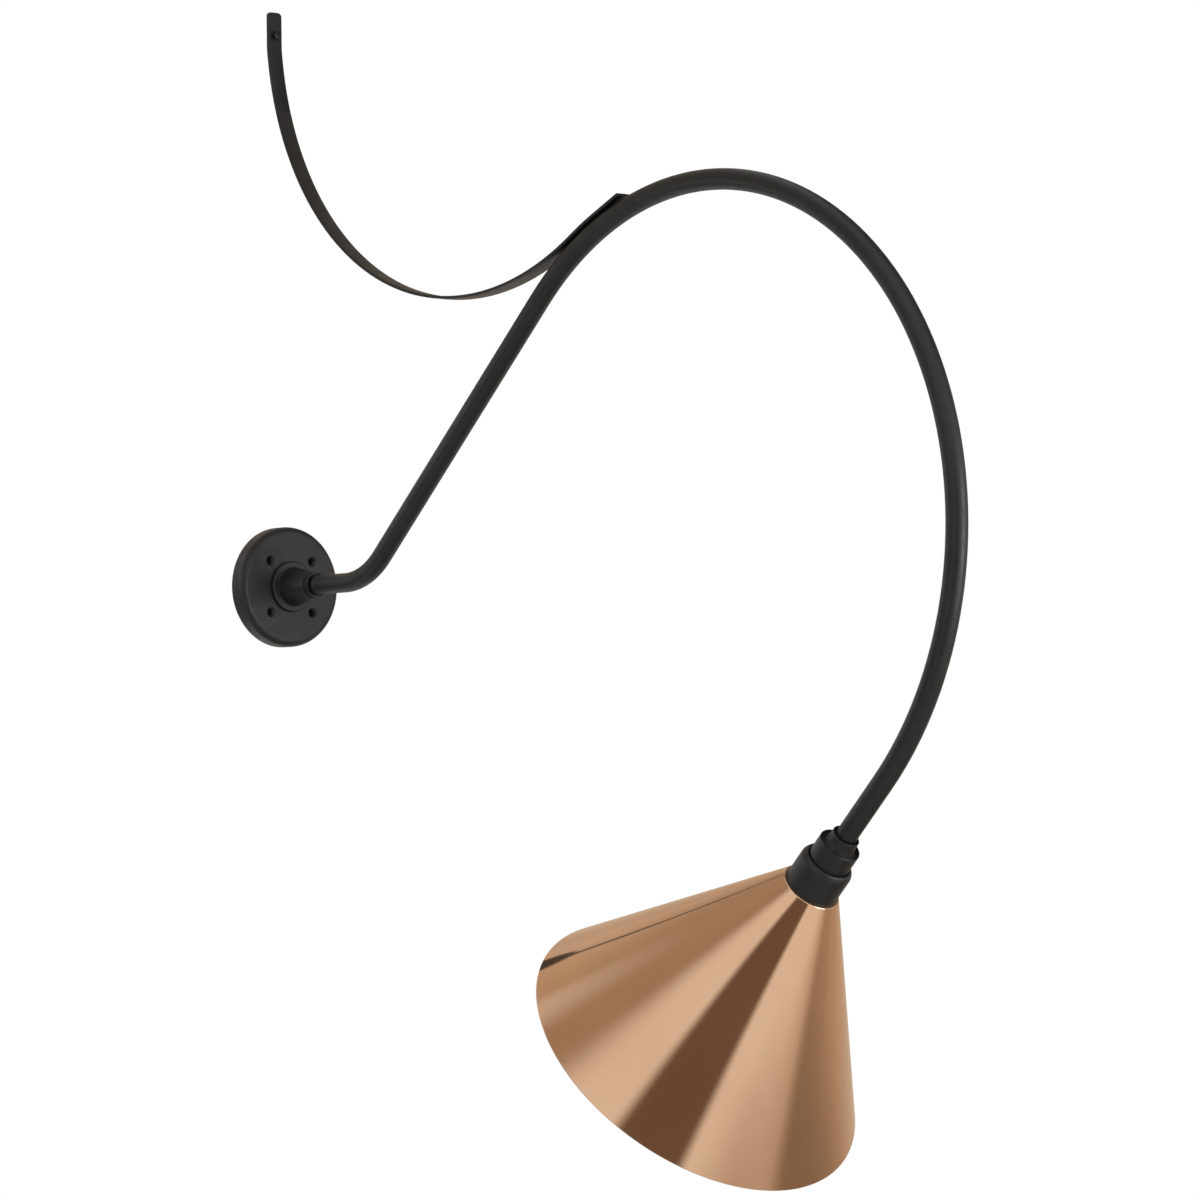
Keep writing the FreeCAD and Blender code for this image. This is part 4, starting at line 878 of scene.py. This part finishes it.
def shade():
    """The spun cone, its flange clamped between a rubber ring and a steel ring on three screws."""
    slope = (SHADE_RIM - SHADE_NECK) / SHADE_HEIGHT
    across = SHEET * math.hypot(slope, 1)
    rim_station = SHADE_TOP + SHADE_HEIGHT
    mesh = turned("shade", [
        (OPENING, SHADE_TOP + SHEET, 0.3), (OPENING, SHADE_TOP, 0.3), (SHADE_NECK, SHADE_TOP, 1.6),
        (SHADE_RIM, rim_station, 0.5), (SHADE_RIM - across, rim_station, 0.4),
        (SHADE_NECK + SHEET * slope - across, SHADE_TOP + SHEET, 0.5)], 256)
    mesh = carved(mesh, [thirds(cylinder(RING_HOLE, SHADE_TOP - 1, SHADE_TOP + 3, 24))])
    settle("shade_spinning", mesh, NECK, copper, "shade")
    seal = flat_ring(SEAL_BORE, CUP_RADIUS, CUP_END, SHADE_TOP, RUBBER_EDGES, 96)
    settle("shade_seal", seal, NECK, rubber, "shade_gasket")
    flange = SHADE_TOP + SHEET
    ring = flat_ring(OPENING, CUP_RADIUS, flange, RING_UNDER, (0.2, 0.3, 0.5, 0.5), 128)
    ring = carved(ring, [thirds(cylinder(RING_HOLE, flange - 1, RING_UNDER + 1, 24))])
    settle("clamp_ring", ring, NECK, zinc, "shade_ring")
    screws = thirds(moved(pan_head_screw(2.9, 1.9, 1.5, 17.7, 0.7), z=RING_UNDER))
    settle("clamp_screws", screws, NECK, zinc, "ring_screws")


# Lampholder, in the same stations

HOLDER_TOP = 126.0
HOLDER_MOUTH = 164.0
HOLDER_FLOOR = 132.5
HOLDER_RADIUS = 19.0
HOLDER_BORE = 13.85
SIDE_SCREW_STATION = 134.0
SIDE_SCREW_HOLE = 1.6
LEG_END = 134.0
TERMINAL_OUT = 11.5
SHELL_RADIUS = 13.35
SHELL_START = 133.2
SHELL_END = 162.2
THREAD_PITCH = 3.6288
THREAD_DEPTH = 0.8
UPRIGHT = Matrix(((1, 0, 0, 0), (0, 0, -1, 0), (0, 1, 0, 0), (0, 0, 0, 1)))


def strip_section(half_thickness, half_width):
    return [(half_thickness, half_width), (-half_thickness, half_width),
            (-half_thickness, -half_width), (half_thickness, -half_width)]


def lampholder_bracket():
    """A strip bent down both sides of the lampholder, with an eye under the nut."""
    half = (STRIP_UNDER - CUP_CEILING) / 2
    out, bend, low = HOLDER_RADIUS + FIT_GAP + half, 1.6, CUP_CEILING + half
    leg = LEG_END - low - bend
    spots = walk((-out, LEG_END), -90, [(leg,), (bend, 90), (2 * (out - bend),), (bend, 90), (leg,)], 15.0)
    strip = swept("strip", spots, [strip_section(half, 6.0)] * len(spots))
    strip.transform(UPRIGHT)
    eye = turned("eye", [(0, CUP_CEILING, 0), (15.0, CUP_CEILING, 0.2), (15.0, STRIP_UNDER, 0.2),
                         (0, STRIP_UNDER, 0)], 72)
    mesh = carved(strip, [eye], "UNION")
    side_holes = moved(cylinder(SIDE_SCREW_HOLE, -22, 22, 24), z=SIDE_SCREW_STATION, turn=ASIDE)
    mesh = carved(mesh, [cylinder(NECK_HOLE, CUP_CEILING - 1, CUP_CEILING + 3, 72), side_holes])
    settle("holder_strip", mesh, NECK, zinc, "lampholder_bracket")


def both_sides(mesh, out, start):
    """Two of a piece, opposite each other."""
    return AROUND.grow(mesh, zinc, Count=2, Radius=out, Start=start, Step=180.0)


def lampholder_body():
    """Glazed porcelain with a deep bore, side holes and terminal holes."""
    mesh = turned("lampholder_body", [
        (0, HOLDER_TOP, 0), (HOLDER_RADIUS, HOLDER_TOP, 1.8), (HOLDER_RADIUS, HOLDER_MOUTH, 2.0),
        (HOLDER_BORE, HOLDER_MOUTH, 1.2), (HOLDER_BORE, HOLDER_FLOOR, 0.5), (0, HOLDER_FLOOR, 0)])
    holes = [moved(cylinder(SIDE_SCREW_HOLE, 14.0, 20.0, 24), z=SIDE_SCREW_STATION,
                   turn=turn_about("Y", side)) for side in (90, -90)]
    terminals = both_sides(cylinder(1.55, HOLDER_TOP - 1, HOLDER_TOP + 5, 24), TERMINAL_OUT, 90.0)
    settle("porcelain_body", carved(mesh, holes + [terminals]), NECK, porcelain, "lampholder_body")


def lampholder_screws():
    side = moved(pan_head_screw(2.8, 1.7, 1.5, 5.5, 0.7), 20.6, z=SIDE_SCREW_STATION, turn=ASIDE)
    settle("side_screws", both_sides(side, 0.0, 0.0), NECK, zinc, "lampholder_screws")
    terminal = moved(pan_head_screw(3.0, 1.8, 1.45, 7.6, 0.7, "slot"), z=HOLDER_TOP - 2.6, turn=OVER)
    settle("terminal_pair", both_sides(terminal, TERMINAL_OUT, 90.0), NECK, brass, "terminal_screws")


def lip(mesh, station, *rings):
    """Carries the open rim nearest a station on through more rings of (radius, station)."""
    shape = bmesh.new()
    shape.from_mesh(mesh)
    rim = [point for point in shape.verts if point.is_boundary and abs(point.co.z - station) < 0.01]
    rim.sort(key=lambda point: math.atan2(point.co.y, point.co.x))
    for radius, level in rings:
        grown = []
        for point in rim:
            flat = point.co.xy.normalized() * radius
            grown.append(shape.verts.new((flat.x, flat.y, level)))
        for number in range(len(rim)):
            shape.faces.new((rim[number - 1], rim[number], grown[number], grown[number - 1]))
        rim = grown
    shape.to_mesh(mesh)
    shape.free()
    return tidy_mesh(mesh)


def lampholder_shell():
    """Rolled brass shell with the lamp's thread, a plain mouth and a lip turned in at its inner end."""
    wall = threaded(SHELL_RADIUS, THREAD_DEPTH, THREAD_PITCH, SHELL_START, SHELL_END, first=134.5, last=155.0,
                    fade=1.5, foot=0.0, head=0.0, around=96, per_turn=10)
    wall = lip(wall, SHELL_START, (13.1, 132.9), (12.6, 132.75), (8.4, 132.75))
    wall = lip(wall, SHELL_END, (13.45, 162.45))
    mesh = baked(wall, ("SOLIDIFY", {"thickness": 0.3, "offset": 1.0}))
    settle("rolled_shell", mesh, NECK, brass, "lampholder_shell")


def centre_contact():
    """A brass tongue folded back over its foot."""
    spots = walk((6.0, HOLDER_FLOOR + 0.25), 180, [(11.0,), (0.6, -132), (2.7,), (1.5, -48), (4.4,)], 12.0)
    mesh = swept("tongue", spots, [strip_section(0.25, 2.5)] * len(spots))
    mesh.transform(UPRIGHT)
    tidy_mesh(mesh)
    settle("contact_tongue", mesh, NECK, brass, "centre_contact")


# Lamp

TIP_START = 136.6
TIP_END = 138.0
CAP_START = 140.8
CAP_RADIUS = 13.0
CAP_WALL_START = 141.5
CAP_WALL_END = 162.2
GLOBE_STATION = 214.6
GLOBE_RADIUS = 30.0


def lamp_cap():
    """Tip, black glass insulator and the threaded cap with its plain collar."""
    tip = turned("tip", [(0, TIP_START, 0), (3.0, TIP_START, 0.9), (4.7, 137.7, 0.3), (4.7, TIP_END, 0),
                         (0, TIP_END, 0)], 48)
    settle("lamp_tip", tip, NECK, brass, "bulb_tip", "bulb_contact")
    glass = turned("glass", [(0, TIP_END, 0), (4.7, TIP_END, 0.2), (9.0, 139.0, 1.5),
                             (12.0, CAP_START, 0.2), (0, CAP_START, 0)], 64)
    settle("lamp_insulator", glass, NECK, black_glass, "bulb_insulator", "bulb_contact")
    wall = threaded(CAP_RADIUS, THREAD_DEPTH, THREAD_PITCH, CAP_WALL_START, CAP_WALL_END, last=156.5,
                    fade=1.5, head=0.0, around=96, per_turn=10)
    wall = lip(wall, CAP_WALL_START, (12.0, 141.05), (11.2, CAP_START), (4.0, CAP_START))
    wall = lip(wall, CAP_WALL_END, (12.85, 162.6), (12.5, 162.8))
    mesh = baked(wall, ("SOLIDIFY", {"thickness": 0.25, "offset": -1.0}))
    settle("lamp_cap", mesh, NECK, cap_metal, "bulb_cap", "bulb")


def bulb_globe():
    """Frosted glass: a neck in the cap, a cone and a ball, drawn as one smooth wall."""
    neck, low, neck_end, wall, steps = 12.2, 156.8, 166.8, 1.0, 24
    thin = GLOBE_RADIUS - wall
    reach = math.hypot(neck, GLOBE_STATION - neck_end)
    start = math.degrees(math.asin(neck / reach) - math.asin(GLOBE_RADIUS / reach))
    outside = [(neck, low, 0.3), (neck, neck_end, 6.0)]
    inside = [(neck - wall, neck_end, 6.0), (neck - wall, low, 0.3)]
    for step in range(steps + 1):
        heading = math.radians(start + (90 - start) * step / steps)
        across, along = math.cos(heading) if step < steps else 0.0, math.sin(heading)
        outside.append((GLOBE_RADIUS * across, GLOBE_STATION + GLOBE_RADIUS * along, 0))
        inside.insert(0, (thin * across, GLOBE_STATION + thin * along, 0))
    mesh = turned("bulb_globe", outside + inside, 96)
    settle("lamp_glass", mesh, NECK, frosted_glass, "bulb_globe", "bulb")


for make in (wall_gasket, wall_plate, arm_hub, wire_bushing, earth_point, wire_connectors, gooseneck_arm,
             leads, brace_strap, brace_screws, neck_hub, socket_cup, shade, lampholder_bracket,
             lampholder_body, lampholder_screws, lampholder_shell, centre_contact, lamp_cap, bulb_globe):
    make()


# Camera, at the photograph's place, in metres and degrees

CAMERA_PLACE = (-2.72402, -3.65811, -0.21683)
CAMERA_YAW = 41.16
CAMERA_PITCH = 2.49
CAMERA_ROLL = -0.86
CAMERA_LENS = 122.503
CAMERA_REACH = 100.0
SENSOR = 36.0


def camera():
    data = bpy.data.cameras.new("camera")
    data.sensor_width = SENSOR
    data.lens = CAMERA_LENS
    data.clip_end = CAMERA_REACH
    item = placed("camera", data)
    item.matrix_world = (Matrix.Translation(CAMERA_PLACE) @ turn_about("Z", -CAMERA_YAW)
                         @ turn_about("X", 90 + CAMERA_PITCH) @ turn_about("Z", CAMERA_ROLL))
    bpy.context.scene.camera = item


# Studio: white surround, pale floor, soft lamps and the dark cards that the copper mirrors

SOFT_SURROUND = 0.35
FLOOR_LEVEL = -1.7
FLOOR_RADIUS = 2.4
FLOOR_CENTRE = (0.0, -0.6)
FLOOR_FADE = (0.35, 0.98)
LAMP_TARGET = Vector((0, -0.6, 0))
CARD_CENTRE = Vector((0, -0.8, -0.35))
CARD_COLUMNS = 24
CARD_ROWS = 12


def seen_directly(tree):
    """One where a ray comes from the camera, a mirror or glass, and nought elsewhere."""
    path = add_node(tree, "ShaderNodeLightPath").outputs
    total = path["Is Camera Ray"]
    for kind in ("Is Glossy Ray", "Is Transmission Ray"):
        total = add_node(tree, "ShaderNodeMath", {0: total, 1: path[kind]}, operation="MAXIMUM").outputs[0]
    return total


def surround():
    """White where it is seen, softer where it only lights the object."""
    world = bpy.data.worlds.new("surround")
    bpy.context.scene.world = world
    world.use_nodes = True
    seen = world.node_tree.nodes["Background"]
    seen.inputs["Color"].default_value = (1, 1, 1, 1)
    soft = add_node(world.node_tree, "ShaderNodeBackground", {"Strength": SOFT_SURROUND})
    end_in_mix(world.node_tree, "World Output", seen_directly(world.node_tree), soft, seen)


def floor():
    """A pale disc that catches the shadow and turns white towards its edge."""
    shape = bmesh.new()
    bmesh.ops.create_circle(shape, cap_ends=True, radius=FLOOR_RADIUS, segments=96)
    mesh = bpy.data.meshes.new("floor")
    shape.to_mesh(mesh)
    shape.free()
    finish = Finish("floor", (0.86, 0.86, 0.85), 0.8)
    out = finish.node("ShaderNodeVectorMath", {0: finish.place}, operation="LENGTH").outputs["Value"]
    near, far = FLOOR_FADE
    fade = finish.node("ShaderNodeMapRange", {
        "Value": out, "From Min": FLOOR_RADIUS * near, "From Max": FLOOR_RADIUS * far},
        interpolation_type="SMOOTHSTEP").outputs["Result"]
    end_in_mix(finish.tree, "Material Output", fade, finish.shader, finish.node("ShaderNodeEmission"))
    mesh.materials.append(finish.material)
    item = placed("floor", mesh)
    item.location = (*FLOOR_CENTRE, FLOOR_LEVEL)


def direction(azimuth, elevation):
    """The way to a place, in degrees round from the wall's side and up from level."""
    azimuth, elevation = math.radians(azimuth), math.radians(elevation)
    return Vector((math.sin(azimuth) * math.cos(elevation), math.cos(azimuth) * math.cos(elevation),
                   math.sin(elevation)))


def lamp(name, azimuth, elevation, distance, size, power, mirrored=False):
    """A soft square lamp that looks at the middle of the arm."""
    data = bpy.data.lights.new(name, "AREA")
    data.size = size
    data.energy = power
    item = placed(name, data)
    way = direction(azimuth, elevation)
    item.location = LAMP_TARGET + way * distance
    item.rotation_euler = way.to_track_quat("Z", "Y").to_euler()
    item.visible_glossy = mirrored
    item.visible_camera = False


def card_material(name, colour, soft):
    """A glow that fades away within a share of the card's width and of its height."""
    material = bpy.data.materials.new(name)
    material.use_nodes = True
    tree = material.node_tree
    tree.nodes.remove(tree.nodes["Principled BSDF"])
    place = add_node(tree, "ShaderNodeTexCoord").outputs["UV"]
    split = add_node(tree, "ShaderNodeSeparateXYZ", {0: place}).outputs
    solid = 1.0
    for axis, width in zip("XY", soft):
        inward = add_node(tree, "ShaderNodeMath", {0: split[axis], 1: 0.5}, operation="PINGPONG")
        fade = add_node(tree, "ShaderNodeMapRange", {"Value": inward.outputs[0], "From Max": width},
                        interpolation_type="SMOOTHSTEP")
        solid = add_node(tree, "ShaderNodeMath", {0: fade.outputs["Result"], 1: solid},
                         operation="MULTIPLY").outputs[0]
    end_in_mix(tree, "Material Output", solid, add_node(tree, "ShaderNodeBsdfTransparent"),
               add_node(tree, "ShaderNodeEmission", {"Color": (*colour, 1)}))
    return material


def card(name, azimuths, elevations, distance, colour, soft):
    """A curved card round the light that only mirrors see; its sides and its ends fade away."""
    points, faces, spread = [], [], []
    for row in range(CARD_ROWS + 1):
        elevation = elevations[0] + (elevations[1] - elevations[0]) * row / CARD_ROWS
        for column in range(CARD_COLUMNS + 1):
            azimuth = azimuths[0] + (azimuths[1] - azimuths[0]) * column / CARD_COLUMNS
            points.append(CARD_CENTRE + distance * direction(azimuth, elevation))
            spread.append((column / CARD_COLUMNS, row / CARD_ROWS))
            if row and column:
                last = len(points) - 1
                below = last - CARD_COLUMNS - 1
                faces.append((below - 1, below, last, last - 1))
    mesh = plain_mesh(name, points, faces)
    layer = mesh.uv_layers.new(name="spread")
    for loop in mesh.loops:
        layer.data[loop.index].uv = spread[loop.vertex_index]
    mesh.materials.append(card_material(name, colour, soft))
    item = placed(name, mesh)
    for ray in ("camera", "diffuse", "transmission", "shadow", "volume_scatter"):
        setattr(item, "visible_" + ray, False)


camera()
surround()
floor()
lamp("left_lamp", -120, 40, 3.5, 2.0, 60)
lamp("right_lamp", 150, 25, 4.0, 2.0, 20)
lamp("back_lamp", 20, 50, 4.0, 2.0, 20)
lamp("arm_lamp", 160.5, -2, 1.8, 0.7, 11, mirrored=True)
lamp("wall_lamp", -39, 4, 1.3, 0.4, 0.8, mirrored=True)
card("camera_side_card", (-160, -118), (-34, 20), 5.0, (0.15, 0.09, 0.055), (0.17, 0.1))
card("right_card", (74, 170), (-60, 16), 5.2, (0.52, 0.40, 0.30), (0.42, 0.42))
card("right_low_card", (45, 150), (-88, -14), 1.2, (0.28, 0.21, 0.15), (0.15, 0.25))
card("front_low_card", (120, 240), (-62, -20), 2.0, (0.36, 0.25, 0.16), (0.5, 0.5))
card("overhead_left_card", (-104, -34), (16, 80), 5.4, (0.46, 0.37, 0.28), (0.35, 0.35))
card("overhead_card", (-76, 30), (26, 88), 1.18, (0.48, 0.39, 0.30), (0.12, 0.36))
card("overhead_far_card", (-30, 30), (18, 60), 5.6, (0.7, 0.57, 0.45), (0.2, 0.2))
card("back_card", (12, 110), (-30, 48), 5.8, (0.62, 0.48, 0.35), (0.1, 0.15))
card("wall_side_card", (-102, 6), (-40, 17), 5.9, (0.36, 0.36, 0.36), (0.12, 0.12))
card("low_card", (-110, 84), (-88, -27), 1.25, (0.33, 0.33, 0.33), (0.12, 0.2))
card("high_card", (38, 150), (16, 88), 4.9, (0.12, 0.12, 0.12), (0.16, 0.2))
bpy.context.scene.view_settings.view_transform = "Standard"
